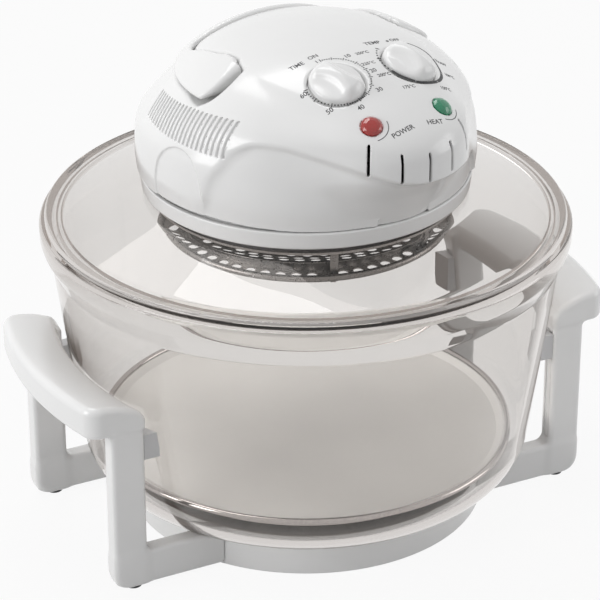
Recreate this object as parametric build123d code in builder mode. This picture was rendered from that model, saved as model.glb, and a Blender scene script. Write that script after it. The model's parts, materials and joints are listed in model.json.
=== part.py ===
"""Halogen oven: glass bowl on a stand with two handle frames, domed glass lid with a fan heater head."""
from build123d import *
from collections import namedtuple
from math import cos, radians, sin, sqrt
import os

os.makedirs("parts", exist_ok=True)

# ---------------------------------------------------------------- sizes, mm
CLEAR = 0.3                    # gap between bodies that lift or turn past each other
SEAT = 0.2                     # gap under a lift-off piece at rest
RUN = 0.05                     # radial running clearance of a shaft or pin
HEAD_TURN = 8.0                # the loose lid's turn on the bowl, degrees, anticlockwise from above

# stand
RING_R = 115.2                 # outer radius of the base ring
RING_H = 21.8                  # seat height of the base ring
RING_WALL = 3.0
RING_WEB = 3.6                 # thickness of the ring's top web
RING_INNER_R = 80.0
FOOT_H = 0.8                   # how far the rubber feet stand below the stand
FOOT_R = 5.2
POST_IN = 144.0                # inner face of a handle post, from the middle
POST_OUT = 166.0
POST_FRONT = 71.0              # outer face of a post along Y
POST_T = 14.0                  # post thickness along Y
BAR_TOP = 25.0                 # top of a foot bar
GRIP_LOW = 111.0               # underside of the hand grip
GRIP_TOP = 131.5
GRIP_IN_X = 155.5              # inner face of the grip at mid length
GRIP_IN_ARC = 213.0
GRIP_OUT_X = 190.0
GRIP_OUT_ARC = 247.0
GRIP_HALF = 71.6               # half length of the grip
GRIP_SLOPE_DROP = 9.0          # inner slope of the grip's top
GRIP_SLOPE_RUN = 13.0
GRIP_EDGE = 5.5
POST_EDGE = 3.6
GROOVE_W = 5.0                 # groove down the inner face of a post
GROOVE_DEPTH = 1.2
TONGUE_LOW = 7.0               # tongue that joins a foot bar to the ring
TONGUE_T = 6.0
TONGUE_W = 9.0
TONGUE_IN = 72.0
SCREW_X = 78.0                 # frame screw position
PAD_LOW = 89.0                 # bowl pads on the posts
PAD_HIGH = 106.0
PAD_W = 9.0
PAD_DEPTH = 10.0
PAD_Y = 64.0
PAD_STUD = 4.0                 # stud that holds a pad in its post
PAD_STUD_R = 3.0
FOOT_X = 152.0
FOOT_STEM = 3.0
FOOT_STEM_R = 3.5

# bowl
BOWL_SEAT = RING_H
BOWL_WALL = 4.6
BOWL_FLOOR = 5.0
BOWL_SLOPE = 0.13              # wall radius gained per mm of height
BOWL_R70 = 147.0               # outer wall radius 70 mm up
BOWL_CORNER = 34.0
BOWL_NECK_Z = 172.0            # where the wall turns out into the rim
RIM_R = 167.0
RIM_TOP = 196.0
RIM_LOW = 188.0
RIM_IN_R = 158.5

# rack and tray
WIRE_R = 1.9
RACK_Z = 40.8                  # centre height of the rack's ring wire
RACK_RING_R = 118.0
RACK_LEG_X = 36.0
RACK_LEG_Y = 82.0
RACK_WIRE_PITCH = 24.0
RACK_WIRES = 6
TRAY_R = 131.0
TRAY_T = 1.2
TRAY_DEPTH = 4.0
TRAY_RIM_R = 1.9

# lid glass and what clamps it
GLASS_T = 4.0
GLASS_EDGE_R = 163.5
GLASS_EDGE_TOP = 201.0
GLASS_HOLE_R = 86.0
GLASS_FLAT_R = 104.0
GLASS_FLAT_TOP = 218.0
GLASS_TURN_R = 150.0
STEP_R = 156.0                 # locating step inside the bowl rim
STEP_LOW = 191.0
FLANGE_R = 98.0
FLANGE_IN_R = 80.0
SHEET = 1.0
GASKET_T = 1.0
CLAMP_SCREW_R = 83.3

# heater guard
GUARD_R = 90.9
GUARD_TOP = 193.5
GUARD_BEAD = 2.0
GUARD_BAND_Z = 190.0           # floor of the outer perforated band
GUARD_STEP_R = 75.5
GUARD_DISC_Z = 196.0           # raised middle disc
GUARD_T = 0.8
HOLE_R = 3.2
HOLE_PITCH = 9.6
BAND_ROW_R = 80.8
DISC_ROW_R = 68.6
DISC_ROWS = 6
BRACKET_ANGLES = (23.5, 156.5, 203.5, 336.5)
BRACKET_R = 84.6

# heater
TUBE_R = 4.5
TUBE_RING_R = 58.0
TUBE_Z = 206.0
TUBE_GAP = 24.0                # opening of the tube ring, degrees
HOLDER_L = 10.0
HOLDER_W = 14.0
HOLDER_LOW = 200.0
HOLDER_GRIP = 3.0              # length of tube held in each holder
CLIP_ANGLES = (0.0, 100.0, 260.0)
CLIP_L = 5.0
CLIP_WALL = 1.0
PROBE_X = -70.5
PROBE_Z = 212.0
PROBE_R = 2.5
PROBE_L = 46.0
PROBE_CLIP_Y = 15.0
WIRE_LEAD_R = 1.1
TERMINAL_Y = 62.0
TERMINAL_L = 32.0
TERMINAL_W = 12.0
TERMINAL_H = 14.0
CUTOUT_R = 8.0
CUTOUT_H = 5.0
CUTOUT_AT = 66.0
CUTOUT_ANGLE = -62.0

# housing
COLLAR_R = 102.4
COLLAR_LOW = 218.2
COLLAR_TOP = 229.5
COLLAR_TOP_R = 103.6
COLLAR_WALL = 2.5
FLOOR_IN_R = 70.0
SPIGOT_R = 97.6
SPIGOT_TOP = 237.0
SCREW_SINK = 2.4
BOSS_TOP = 262.0
FLANK_DEPTH = 1.2
CORD_Z = 248.0
CORD_BUSH_R = 7.0
HOUSING_LOW = 232.0
SCALLOP_STEPS = 12
HOUSING_WALL = 2.0
LEDGE_WALL = 2.5
BOSS_R = 5.0
BOSS_AT = 90.0
FLOOR_TOP = 222.2              # top of the lower housing's floor ring
SHIELD_R = 82.0
LOUVRE_W = 1.9
LOUVRE_COUNT = 22
LOUVRE_PITCH = 2.3             # degrees
LOUVRE_FIRST = 62.0            # degrees from the front
LOUVRE_MID = 282.0
LOUVRE_H = 21.0
LOUVRE_TILT = 0.0

# carry handle
DECK_X = 57.6                  # half width of the deck between the handle arms
DECK_Y = 46.0                  # back edge of the deck
DECK_CORNER = 14.0
PIVOT_Y = -7.0
PIVOT_Z = 306.5
PIVOT_END_R = 10.6
POCKET_R = 11.4
LEDGE_SLOPE = 0.15
LEDGE_AT_PIVOT = 301.0
HANDLE_GAP = 1.0
PIN_R = 3.0
HANDLE_RAISE = 2.2             # how far the handle stands proud of the dome
PIN_IN = 50.0
PIN_L = 19.0
SWITCH_POST_X = 7.0
SWITCH_POST_R = 2.4
SWITCH_POST_L = 6.0
SWITCH_TOP = 283.2
SWITCH_L = 20.0
SWITCH_T = 8.0
SWITCH_H = 16.0
FLANGE_GAP = 0.2               # from the plunger's foot to the switch
PLUNGER_FLANGE_R = 3.6
PLUNGER_FLANGE_T = 1.0

# controls
KNOB_X = 26.6
KNOB_Y = -69.4
KNOB_Z = 312.7
KNOB_TILT = 19.0
KNOB_LEAN = 9.8
KNOB_R = 15.6
KNOB_LOW = -3.9                # underside of the knob's disc, from the panel plane
KNOB_EDGE = 1.0
KNOB_TOP = 9.5
KNOB_BAR_W = 14.0
KNOB_BAR_L = 29.0
KNOB_CREST_W = 6.4
KNOB_CREST_L = 23.0
KNOB_TURN = 16.0               # where the grip bar points at rest, degrees from straight back
KNOB_BORE_TOP = 5.2
SHAFT_FLAT = 1.0
SHAFT_LOW = -20.0
SHAFT_TOP = 5.0
MOVEMENT_R = 15.0
MOVEMENT_L = 24.0
MOVEMENT_SIDE = 25.0
MOVEMENT_TAB = 5.0
RECESS_R = 17.2
RECESS_DEPTH = 4.2
SHAFT_R = 3.0
LAMP_X = 25.8
LAMP_Y = -103.2
LAMP_Z = 296.8
LAMP_TILT = 31.8
LAMP_LEAN = 14.5
LENS_R = 6.6
LENS_H = 3.0                   # crown height of a lens above its plane
LENS_EDGE = 0.4
LENS_SEAT = -0.8
LENS_SHANK_R = 4.6
LENS_SHANK_LOW = -10.0
LENS_BORE_R = 3.5
LENS_FIT = 0.1
NEON_LOW = -17.0
NEON_TOP = -1.6
SLOT_W = 2.2
SLOT_PITCH = 17.2
SLOT_LOW = (270.4, 265.2, 263.4, 265.2, 270.4)
SLOT_HIGH = (289.3, 283.6, 281.6, 283.6, 289.3)

# drive
SHIELD_IN_R = 10.0
SHIELD_T = 1.0
BRACKET_DISC_R = 48.0
BRACKET_T = 1.5
BRACKET_LEG_W = 12.0
BRACKET_HOLE_R = 9.0
BRACKET_FOOT = 10.5
FOOT_SCREW_R = 53.6
MOTOR_SCREW_AT = 22.0
MOTOR_BOSS_R = 8.0
MOTOR_BOSS_H = 3.0
MOTOR_R = 29.0
MOTOR_LOW = 244.0
MOTOR_H = 34.0
MOTOR_SHAFT_R = 3.0
MOTOR_SHAFT_LOW = 198.0
MOTOR_SHAFT_TOP = 284.0
FAN_NUT_R = 5.5
FAN_NUT_H = 3.5
HUB_R = 8.0
BLADE_T = 1.2
HOT_BLADES = 8
HOT_FAN_H = 8.0
COOL_BLADES = 7
COOL_BLADE_W = 11.0
COOL_BLADE_TILT = 30.0
COOL_FAN_H = 10.0
HOT_FAN_R = 45.0
HOT_FAN_Z = 203.0
COOL_FAN_R = 40.0
COOL_FAN_Z = 229.0
PLUNGER_Y = 60.0
PLUNGER_R = 2.2


def ring_of_points(radius, angles):
    """Locations at a radius, the angles counted from the front towards +X."""
    spots = []
    for angle in angles:
        spots.append(Location((radius * sin(radians(angle)), -radius * cos(radians(angle)), 0)))
    return spots


# ---------------------------------------------------------------- housing shape
# Each level of the dome is the hull of a rear circle and a nose circle on the Y axis.
Level = namedtuple("Level", "z rear_r rear_y nose_r nose_y")
DOME = (
    Level(z=232.0, rear_r=105.0, rear_y=0.0, nose_r=59.0, nose_y=-68.0),
    Level(z=245.0, rear_r=106.0, rear_y=0.0, nose_r=59.0, nose_y=-68.0),
    Level(z=262.0, rear_r=104.5, rear_y=0.0, nose_r=59.0, nose_y=-68.0),
    Level(z=272.0, rear_r=100.5, rear_y=-3.0, nose_r=58.0, nose_y=-69.0),
    Level(z=281.0, rear_r=96.0, rear_y=-7.5, nose_r=56.0, nose_y=-70.0),
    Level(z=290.0, rear_r=89.3, rear_y=-9.5, nose_r=60.5, nose_y=-58.5),
    Level(z=300.0, rear_r=79.5, rear_y=-8.5, nose_r=57.0, nose_y=-47.0),
    Level(z=310.0, rear_r=64.5, rear_y=-8.0, nose_r=60.0, nose_y=-23.0),
    Level(z=316.0, rear_r=50.0, rear_y=-8.0, nose_r=49.0, nose_y=-17.5),
    Level(z=320.0, rear_r=33.0, rear_y=-8.0, nose_r=33.0, nose_y=-13.0),
    Level(z=322.2, rear_r=14.0, rear_y=-8.0, nose_r=14.0, nose_y=-11.0),
)
# wall of the front scallop, under the visor
SCALLOP = (
    Level(z=231.0, rear_r=102.4, rear_y=0.0, nose_r=59.0, nose_y=-44.0),
    Level(z=248.0, rear_r=103.4, rear_y=0.0, nose_r=58.0, nose_y=-53.0),
    Level(z=264.0, rear_r=101.6, rear_y=0.0, nose_r=56.0, nose_y=-65.0),
    Level(z=276.0, rear_r=96.2, rear_y=-4.5, nose_r=53.0, nose_y=-69.0),
    Level(z=288.0, rear_r=88.2, rear_y=-9.0, nose_r=57.0, nose_y=-60.0),
)


def shrink(levels, by, drop=0.0):
    """The same levels, drawn in by a wall thickness and lowered."""
    drawn = []
    for level in levels:
        drawn.append(Level(level.z - drop, level.rear_r - by, level.rear_y,
                           level.nose_r - by, level.nose_y))
    return drawn


def level_points(level):
    """Where the straight flanks of a level touch its two circles, on the +X side."""
    lean = -(level.rear_r - level.nose_r) / (level.rear_y - level.nose_y)
    across = sqrt(1.0 - lean * lean)
    rear = (level.rear_r * across, level.rear_y + level.rear_r * lean)
    nose = (level.nose_r * across, level.nose_y + level.nose_r * lean)
    return rear, nose


def dome_solid(levels, ruled=False):
    """A solid lofted through the levels."""
    with BuildPart(mode=Mode.PRIVATE) as dome:
        for level in levels:
            rear, nose = level_points(level)
            with BuildSketch(Plane.XY.offset(level.z)):
                with BuildLine():
                    ThreePointArc(rear, (0, level.rear_y + level.rear_r), (-rear[0], rear[1]))
                    Line((-rear[0], rear[1]), (-nose[0], nose[1]))
                    ThreePointArc((-nose[0], nose[1]), (0, level.nose_y - level.nose_r), nose)
                    Line(nose, rear)
                make_face()
        loft(ruled=ruled)
    return dome.part


def level_at(levels, z):
    """A level between the given ones, on a smooth curve through them."""
    last = len(levels) - 2
    low = 0
    while low < last and z > levels[low + 1].z:
        low += 1
    before = levels[max(low - 1, 0)]
    start = levels[low]
    end = levels[low + 1]
    after = levels[min(low + 2, last + 1)]
    span = end.z - start.z
    t = (z - start.z) / span
    values = []
    for place in range(1, 5):
        rise_in = (end[place] - before[place]) / (end.z - before.z) * span
        rise_out = (after[place] - start[place]) / (after.z - start.z) * span
        values.append(
            (2 * t ** 3 - 3 * t ** 2 + 1) * start[place] + (t ** 3 - 2 * t ** 2 + t) * rise_in
            + (3 * t ** 2 - 2 * t ** 3) * end[place] + (t ** 3 - t ** 2) * rise_out)
    return Level(z, *values)


scallop_levels = []
scallop_rise = (SCALLOP[-1].z - SCALLOP[0].z) / SCALLOP_STEPS
for step in range(SCALLOP_STEPS + 1):
    scallop_levels.append(level_at(SCALLOP, SCALLOP[0].z + step * scallop_rise))
cavity_levels = (
    shrink([level for level in scallop_levels if level.z < SCALLOP[3].z + 1.0], HOUSING_WALL)
    + shrink(DOME[5:6], 4.2, 3.0)
    + shrink(DOME[6:], 3.0, 3.0)
)
cavity_levels.insert(0, cavity_levels[0]._replace(z=HOUSING_LOW - 2.0))

# edge of the pressed panel on a flank, as (y, z)
FLANK_EDGE = (
    (8.0, 226.0), (7.5, 245.0), (4.0, 258.0), (-4.0, 266.5), (-14.0, 269.0), (-24.0, 266.0),
    (-31.0, 257.0), (-34.0, 245.0), (-35.0, 226.0),
)

# lower edge of the visor, as (x, z) seen from the front: high on the left, low on the right
VISOR_EDGE = (
    (-100.5, 226.0), (-99.6, 242.0), (-97.0, 257.5), (-90.8, 270.5), (-84.5, 278.6),
    (-77.5, 282.6), (-66.0, 282.4), (-54.3, 278.8), (-43.0, 274.6), (-31.3, 270.2),
    (-16.8, 264.6), (0.0, 262.0), (17.0, 261.4), (34.0, 261.0), (50.0, 258.0),
    (64.0, 250.0), (74.0, 238.0), (79.0, 226.0),
)


def tilted_plane(x, y, z, tilt, lean):
    """A plane on the control panel; its normal leans forward by tilt and outward by lean."""
    side = 1.0 if x > 0 else -1.0
    normal = (side * sin(radians(lean)), -sin(radians(tilt)) * cos(radians(lean)),
              cos(radians(tilt)) * cos(radians(lean)))
    return Plane(origin=(x, y, z), x_dir=(cos(radians(lean)), 0, -side * sin(radians(lean))), z_dir=normal)


timer_plane = tilted_plane(-KNOB_X, KNOB_Y, KNOB_Z, KNOB_TILT, KNOB_LEAN)
heat_plane = tilted_plane(KNOB_X, KNOB_Y, KNOB_Z, KNOB_TILT, KNOB_LEAN)
power_lamp_plane = tilted_plane(-LAMP_X, LAMP_Y, LAMP_Z, LAMP_TILT, LAMP_LEAN)
heat_lamp_plane = tilted_plane(LAMP_X, LAMP_Y, LAMP_Z, LAMP_TILT, LAMP_LEAN)


def post(plane, radius, low, high):
    """A round post on a plane, from one depth to another."""
    return plane * Pos(0, 0, (low + high) / 2) * Cylinder(radius, high - low, mode=Mode.PRIVATE)


# ---------------------------------------------------------------- stand
POST_Y = POST_FRONT - POST_T / 2
TONGUE_TOP = TONGUE_LOW + TONGUE_T
tongue_spots = [(SCREW_X, POST_Y), (-SCREW_X, POST_Y), (SCREW_X, -POST_Y), (-SCREW_X, -POST_Y)]

with BuildPart() as base_ring:
    with BuildSketch(Plane.XZ):
        with BuildLine():
            Polyline(
                (RING_R - RING_WALL, FOOT_H),
                (RING_R, FOOT_H),
                (RING_R, RING_H),
                (RING_INNER_R, RING_H),
                (RING_INNER_R, TONGUE_LOW),
                (RING_INNER_R + RING_WALL, TONGUE_LOW),
                (RING_INNER_R + RING_WALL, RING_H - RING_WEB),
                (RING_R - RING_WALL, RING_H - RING_WEB),
                close=True,
            )
        make_face()
    revolve(axis=Axis.Z)
    with Locations(*[(x, y, (TONGUE_TOP + RING_H) / 2) for x, y in tongue_spots]):
        Cylinder(6.0, RING_H - TONGUE_TOP)
    with Locations(*[(x, y, TONGUE_TOP) for x, y in tongue_spots]):
        Cylinder(1.6, 12.0, mode=Mode.SUBTRACT)
    with Locations(*[(x * 1.2, y, TONGUE_LOW + TONGUE_T / 2) for x, y in tongue_spots]):
        Box(60.0, TONGUE_W + CLEAR, TONGUE_T + CLEAR, mode=Mode.SUBTRACT)
base_ring.part.label = "base_ring"



def bowl_radius(z):
    """Outer radius of the bowl's straight wall at a height."""
    return BOWL_R70 + BOWL_SLOPE * (z - 70.0)


# the room the bowl's rounded lower corner takes, with its gap
corner_ring_r = bowl_radius(BOWL_SEAT + BOWL_CORNER) - sqrt(1 + BOWL_SLOPE ** 2) * BOWL_CORNER
with BuildPart(mode=Mode.PRIVATE) as bowl_room:
    with Locations((0, 0, BOWL_SEAT + BOWL_CORNER)):
        Torus(corner_ring_r, BOWL_CORNER + CLEAR)
    with Locations((0, 0, BOWL_SEAT + BOWL_CORNER / 2 - CLEAR)):
        Cylinder(corner_ring_r, BOWL_CORNER)

# one leg of a handle frame: a post and its foot bar, in the +X +Y quarter
BAR_IN = 80.0
with BuildPart(mode=Mode.PRIVATE) as leg:
    with BuildSketch(Plane.XZ.offset(-POST_FRONT)):
        with BuildLine():
            Polyline(
                (BAR_IN, FOOT_H), (POST_OUT, FOOT_H), (POST_OUT, GRIP_LOW + 8.0),
                (POST_IN, GRIP_LOW + 8.0), (POST_IN, BAR_TOP), (BAR_IN, BAR_TOP),
                close=True,
            )
        make_face()
    extrude(amount=POST_T)
    bottom_outer = leg.edges().filter_by(Axis.Y).group_by(Axis.X)[-1].sort_by(Axis.Z)[0]
    fillet(bottom_outer, 7.0)
    inner_edges = leg.edges().filter_by(Axis.Y).filter_by(lambda e: abs(e.center().X - POST_IN) < 1)
    elbow = inner_edges.sort_by(Axis.Z)[0]
    fillet(elbow, 5.0)
    fillet(leg.faces().filter_by(Axis.Y).edges(), POST_EDGE)
    with Locations((POST_IN, POST_Y, (BAR_TOP + GRIP_LOW) / 2 + 4.0)):
        Box(2 * GROOVE_DEPTH, GROOVE_W, GRIP_LOW - BAR_TOP - 8.0, mode=Mode.SUBTRACT)
    Cylinder(RING_R + 0.1, 80.0, mode=Mode.SUBTRACT)
    add(bowl_room.part, mode=Mode.SUBTRACT)
    with Locations(((TONGUE_IN + RING_R) / 2, POST_Y, TONGUE_LOW + TONGUE_T / 2)):
        Box(RING_R - TONGUE_IN, TONGUE_W, TONGUE_T)
    with Locations((SCREW_X, POST_Y, TONGUE_LOW)):
        Cylinder(1.7, 20.0, mode=Mode.SUBTRACT)
    with Locations((FOOT_X, POST_Y, FOOT_H)):
        Cylinder(FOOT_STEM_R, 2 * FOOT_STEM, mode=Mode.SUBTRACT)
    with Locations((POST_IN, PAD_Y, (PAD_LOW + PAD_HIGH) / 2)):
        Cylinder(PAD_STUD_R, 2 * PAD_STUD, rotation=(0, 90, 0), mode=Mode.SUBTRACT)

with BuildPart() as right_handle_frame:
    arc_out = GRIP_OUT_X - GRIP_OUT_ARC
    arc_in = GRIP_IN_X - GRIP_IN_ARC
    end_out = arc_out + sqrt(GRIP_OUT_ARC ** 2 - GRIP_HALF ** 2)
    end_in = arc_in + sqrt(GRIP_IN_ARC ** 2 - GRIP_HALF ** 2)
    with BuildSketch(Plane.XY.offset(GRIP_LOW)):
        with BuildLine():
            ThreePointArc((end_out, -GRIP_HALF), (GRIP_OUT_X, 0), (end_out, GRIP_HALF))
            Line((end_out, GRIP_HALF), (end_in, GRIP_HALF))
            ThreePointArc((end_in, GRIP_HALF), (GRIP_IN_X, 0), (end_in, -GRIP_HALF))
            Line((end_in, -GRIP_HALF), (end_out, -GRIP_HALF))
        make_face()
    extrude(amount=GRIP_TOP - GRIP_LOW)
    inner_face = right_handle_frame.faces().filter_by(GeomType.CYLINDER).sort_by(SortBy.AREA)[0]
    inner_edge = inner_face.edges().filter_by(GeomType.CIRCLE).sort_by(Axis.Z)[-1]
    chamfer(inner_edge, length=GRIP_SLOPE_DROP, length2=GRIP_SLOPE_RUN, reference=inner_face)
    upright = right_handle_frame.edges().filter_by(Axis.Z)
    fillet(upright.filter_by(lambda e: e.center().X > POST_OUT - 3), 9.0)
    upright = right_handle_frame.edges().filter_by(Axis.Z)
    fillet(upright.filter_by(lambda e: e.center().X < POST_IN), 3.0)
    fillet(right_handle_frame.faces().sort_by(Axis.Z)[-1].edges(), GRIP_EDGE)
    fillet(right_handle_frame.faces().sort_by(Axis.Z)[0].edges(), 3.0)
    add(leg.part)
    add(mirror(leg.part, about=Plane.XZ))
right_handle_frame.part.label = "right_handle_frame"

with BuildPart() as left_handle_frame:
    add(mirror(right_handle_frame.part, about=Plane.YZ))
left_handle_frame.part.label = "left_handle_frame"

with BuildPart() as frame_screws:
    with Locations(*[(x, y, TONGUE_LOW - 1.2) for x, y in tongue_spots]):
        Cylinder(3.4, 2.4)
    with Locations(*[(x, y, TONGUE_LOW + 5.0) for x, y in tongue_spots]):
        Cylinder(1.55, 10.0)
frame_screws.part.label = "frame_screws"

foot_spots = [(FOOT_X, POST_Y), (-FOOT_X, POST_Y), (FOOT_X, -POST_Y), (-FOOT_X, -POST_Y)]
with BuildPart() as rubber_feet:
    with Locations(*[(x, y, FOOT_H / 2) for x, y in foot_spots]):
        Cylinder(FOOT_R, FOOT_H)
    with Locations(*[(x, y, FOOT_H + FOOT_STEM / 2 - 0.1) for x, y in foot_spots]):
        Cylinder(FOOT_STEM_R, FOOT_STEM - 0.2)
rubber_feet.part.label = "rubber_feet"

pad_mid = (PAD_LOW + PAD_HIGH) / 2
with BuildPart() as bowl_pads:
    for x_side in (1, -1):
        for y_side in (1, -1):
            with Locations((x_side * (POST_IN - PAD_DEPTH / 2), y_side * PAD_Y, pad_mid)):
                Box(PAD_DEPTH, PAD_W, PAD_HIGH - PAD_LOW)
            with Locations((x_side * (POST_IN + PAD_STUD / 2 - 0.2), y_side * PAD_Y, pad_mid)):
                Cylinder(PAD_STUD_R - 0.05, PAD_STUD - 0.4, rotation=(0, 90, 0))
    with Locations((0, 0, pad_mid)):
        Cone(bowl_radius(PAD_LOW - 5.0) + CLEAR, bowl_radius(PAD_HIGH + 5.0) + CLEAR,
             PAD_HIGH - PAD_LOW + 10.0, mode=Mode.SUBTRACT)
bowl_pads.part.label = "bowl_pads"

# ---------------------------------------------------------------- bowl
with BuildPart() as glass_bowl:
    low_r = bowl_radius(BOWL_SEAT)
    neck_r = bowl_radius(BOWL_NECK_Z)
    floor_z = BOWL_SEAT + BOWL_FLOOR
    with BuildSketch(Plane.XZ) as bowl_section:
        with BuildLine():
            Polyline(
                (0, BOWL_SEAT), (low_r, BOWL_SEAT), (neck_r, BOWL_NECK_Z),
                (RIM_R - 1.0, BOWL_NECK_Z + 12.0), (RIM_R, RIM_LOW), (RIM_R, RIM_TOP), (RIM_IN_R, RIM_TOP),
                (RIM_IN_R + 0.5, RIM_LOW - 1.0), (neck_r - BOWL_WALL, BOWL_NECK_Z),
                (low_r - BOWL_WALL + BOWL_SLOPE * BOWL_FLOOR, floor_z), (0, floor_z),
                close=True,
            )
        make_face()
        corners = bowl_section.vertices()
        fillet(corners.sort_by_distance(Vector(low_r, BOWL_SEAT))[0], BOWL_CORNER)
        corners = bowl_section.vertices()
        fillet(corners.sort_by_distance(Vector(low_r - BOWL_WALL, floor_z))[0], BOWL_CORNER - BOWL_WALL)
        corners = bowl_section.vertices()
        fillet(corners.sort_by_distance(Vector(neck_r, BOWL_NECK_Z))[0], 9.0)
        corners = bowl_section.vertices()
        fillet(corners.sort_by_distance(Vector(neck_r - BOWL_WALL, BOWL_NECK_Z))[0], 11.0)
        corners = bowl_section.vertices()
        fillet(corners.sort_by_distance(Vector(RIM_R - 1.0, BOWL_NECK_Z + 12.0))[0], 4.0)
        corners = bowl_section.vertices()
        fillet(corners.sort_by_distance(Vector(RIM_R, RIM_TOP))[0], 2.6)
        corners = bowl_section.vertices()
        fillet(corners.sort_by_distance(Vector(RIM_IN_R, RIM_TOP))[0], 2.0)
    revolve(axis=Axis.Z)
glass_bowl.part.label = "glass_bowl"

# ---------------------------------------------------------------- rack and tray
CROSS_Z = RACK_Z + 2 * WIRE_R - 0.3
BOWL_FLOOR_TOP = BOWL_SEAT + BOWL_FLOOR
LEG_LOOP = 5.0                 # bend radius of a looped rack foot
with BuildPart() as wire_rack:
    with BuildSketch(Plane.XZ):
        with Locations((RACK_RING_R, RACK_Z)):
            Circle(WIRE_R)
    revolve(axis=Axis.Z)
    for number in range(RACK_WIRES):
        x = (number - (RACK_WIRES - 1) / 2) * RACK_WIRE_PITCH
        with Locations((x, 0, CROSS_Z)):
            Cylinder(WIRE_R, 2 * sqrt(RACK_RING_R ** 2 - x * x), rotation=(90, 0, 0))
    for x in (RACK_LEG_X, -RACK_LEG_X):
        for y in (RACK_LEG_Y, -RACK_LEG_Y):
            low = BOWL_FLOOR_TOP + SEAT + WIRE_R + LEG_LOOP
            with BuildLine() as foot_path:
                Line((x, y - LEG_LOOP, CROSS_Z - 0.5), (x, y - LEG_LOOP, low))
                ThreePointArc((x, y - LEG_LOOP, low), (x, y, low - LEG_LOOP), (x, y + LEG_LOOP, low))
                Line((x, y + LEG_LOOP, low), (x, y + LEG_LOOP, CROSS_Z - 0.5))
            with BuildSketch(Plane(origin=foot_path.line @ 0, z_dir=foot_path.line % 0)):
                Circle(WIRE_R)
            sweep(path=foot_path.line)
wire_rack.part.label = "wire_rack"

TRAY_LOW = CROSS_Z + WIRE_R + SEAT
with BuildPart() as drip_tray:
    with BuildSketch(Plane.XZ):
        with BuildLine():
            Polyline(
                (0, TRAY_LOW), (TRAY_R - 5.0, TRAY_LOW), (TRAY_R - 1.0, TRAY_LOW + TRAY_DEPTH),
                (TRAY_R - 1.0 - TRAY_T, TRAY_LOW + TRAY_DEPTH), (TRAY_R - 5.6 - TRAY_T, TRAY_LOW + TRAY_T),
                (0, TRAY_LOW + TRAY_T),
                close=True,
            )
        make_face()
    revolve(axis=Axis.Z)
drip_tray.part.label = "drip_tray"

with BuildPart() as tray_rim:
    with BuildSketch(Plane.XZ):
        with Locations((TRAY_R + TRAY_RIM_R - 1.0, TRAY_LOW + TRAY_DEPTH)):
            Circle(TRAY_RIM_R)
    revolve(axis=Axis.Z)
tray_rim.part.label = "tray_rim"

# ---------------------------------------------------------------- lid
GLASS_EDGE_LOW = RIM_TOP + SEAT
with BuildPart() as lid_glass:
    with BuildSketch(Plane.XZ) as glass_section:
        with BuildLine():
            Polyline(
                (GLASS_HOLE_R, GLASS_FLAT_TOP - GLASS_T), (GLASS_FLAT_R, GLASS_FLAT_TOP - GLASS_T),
                (GLASS_TURN_R, GLASS_EDGE_TOP - GLASS_T - 0.4), (STEP_R - GLASS_T, GLASS_EDGE_LOW),
                (STEP_R - GLASS_T, STEP_LOW), (STEP_R, STEP_LOW), (STEP_R, GLASS_EDGE_LOW),
                (GLASS_EDGE_R, GLASS_EDGE_LOW), (GLASS_EDGE_R, GLASS_EDGE_TOP),
                (GLASS_TURN_R + 2.0, GLASS_EDGE_TOP), (GLASS_FLAT_R, GLASS_FLAT_TOP),
                (GLASS_HOLE_R, GLASS_FLAT_TOP),
                close=True,
            )
        make_face()
        for spot, radius in (
            ((GLASS_FLAT_R, GLASS_FLAT_TOP), 26.0),
            ((GLASS_FLAT_R, GLASS_FLAT_TOP - GLASS_T), 30.0),
            ((GLASS_TURN_R + 2.0, GLASS_EDGE_TOP), 12.0),
            ((GLASS_EDGE_R, GLASS_EDGE_TOP), 2.0),
            ((GLASS_EDGE_R, GLASS_EDGE_LOW), 1.2),
            ((STEP_R, STEP_LOW), 1.5),
            ((STEP_R - GLASS_T, STEP_LOW), 1.5),
        ):
            fillet(glass_section.vertices().sort_by_distance(Vector(*spot))[0], radius)
    revolve(axis=Axis.Z)
lid_glass.part.label = "lid_glass"

GLASS_LOW = GLASS_FLAT_TOP - GLASS_T
with BuildPart() as glass_gasket:
    with Locations((0, 0, GLASS_LOW - GASKET_T / 2)):
        Cylinder(FLANGE_R - 1.0, GASKET_T)
        Cylinder(GLASS_HOLE_R + 1.0, GASKET_T, mode=Mode.SUBTRACT)
glass_gasket.part.label = "glass_gasket"

FLANGE_TOP = GLASS_LOW - GASKET_T
FLANGE_LOW = FLANGE_TOP - SHEET
PLATE_LOW = FLANGE_LOW + 4.4
clamp_angles = [30.0 + 60.0 * number for number in range(6)]
with BuildPart() as heat_reflector:
    with BuildSketch(Plane.XZ):
        with BuildLine():
            Polyline(
                (MOTOR_SHAFT_R + 3.5, PLATE_LOW), (FLANGE_IN_R, PLATE_LOW), (FLANGE_IN_R, FLANGE_LOW),
                (FLANGE_R, FLANGE_LOW), (FLANGE_R, FLANGE_TOP), (FLANGE_IN_R + SHEET, FLANGE_TOP),
                (FLANGE_IN_R + SHEET, PLATE_LOW + SHEET), (MOTOR_SHAFT_R + 3.5, PLATE_LOW + SHEET),
                close=True,
            )
        make_face()
    revolve(axis=Axis.Z)
    with Locations(*ring_of_points(CLAMP_SCREW_R, clamp_angles)):
        Cylinder(1.5, 2 * FLANGE_TOP, mode=Mode.SUBTRACT)
heat_reflector.part.label = "heat_reflector"

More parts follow.
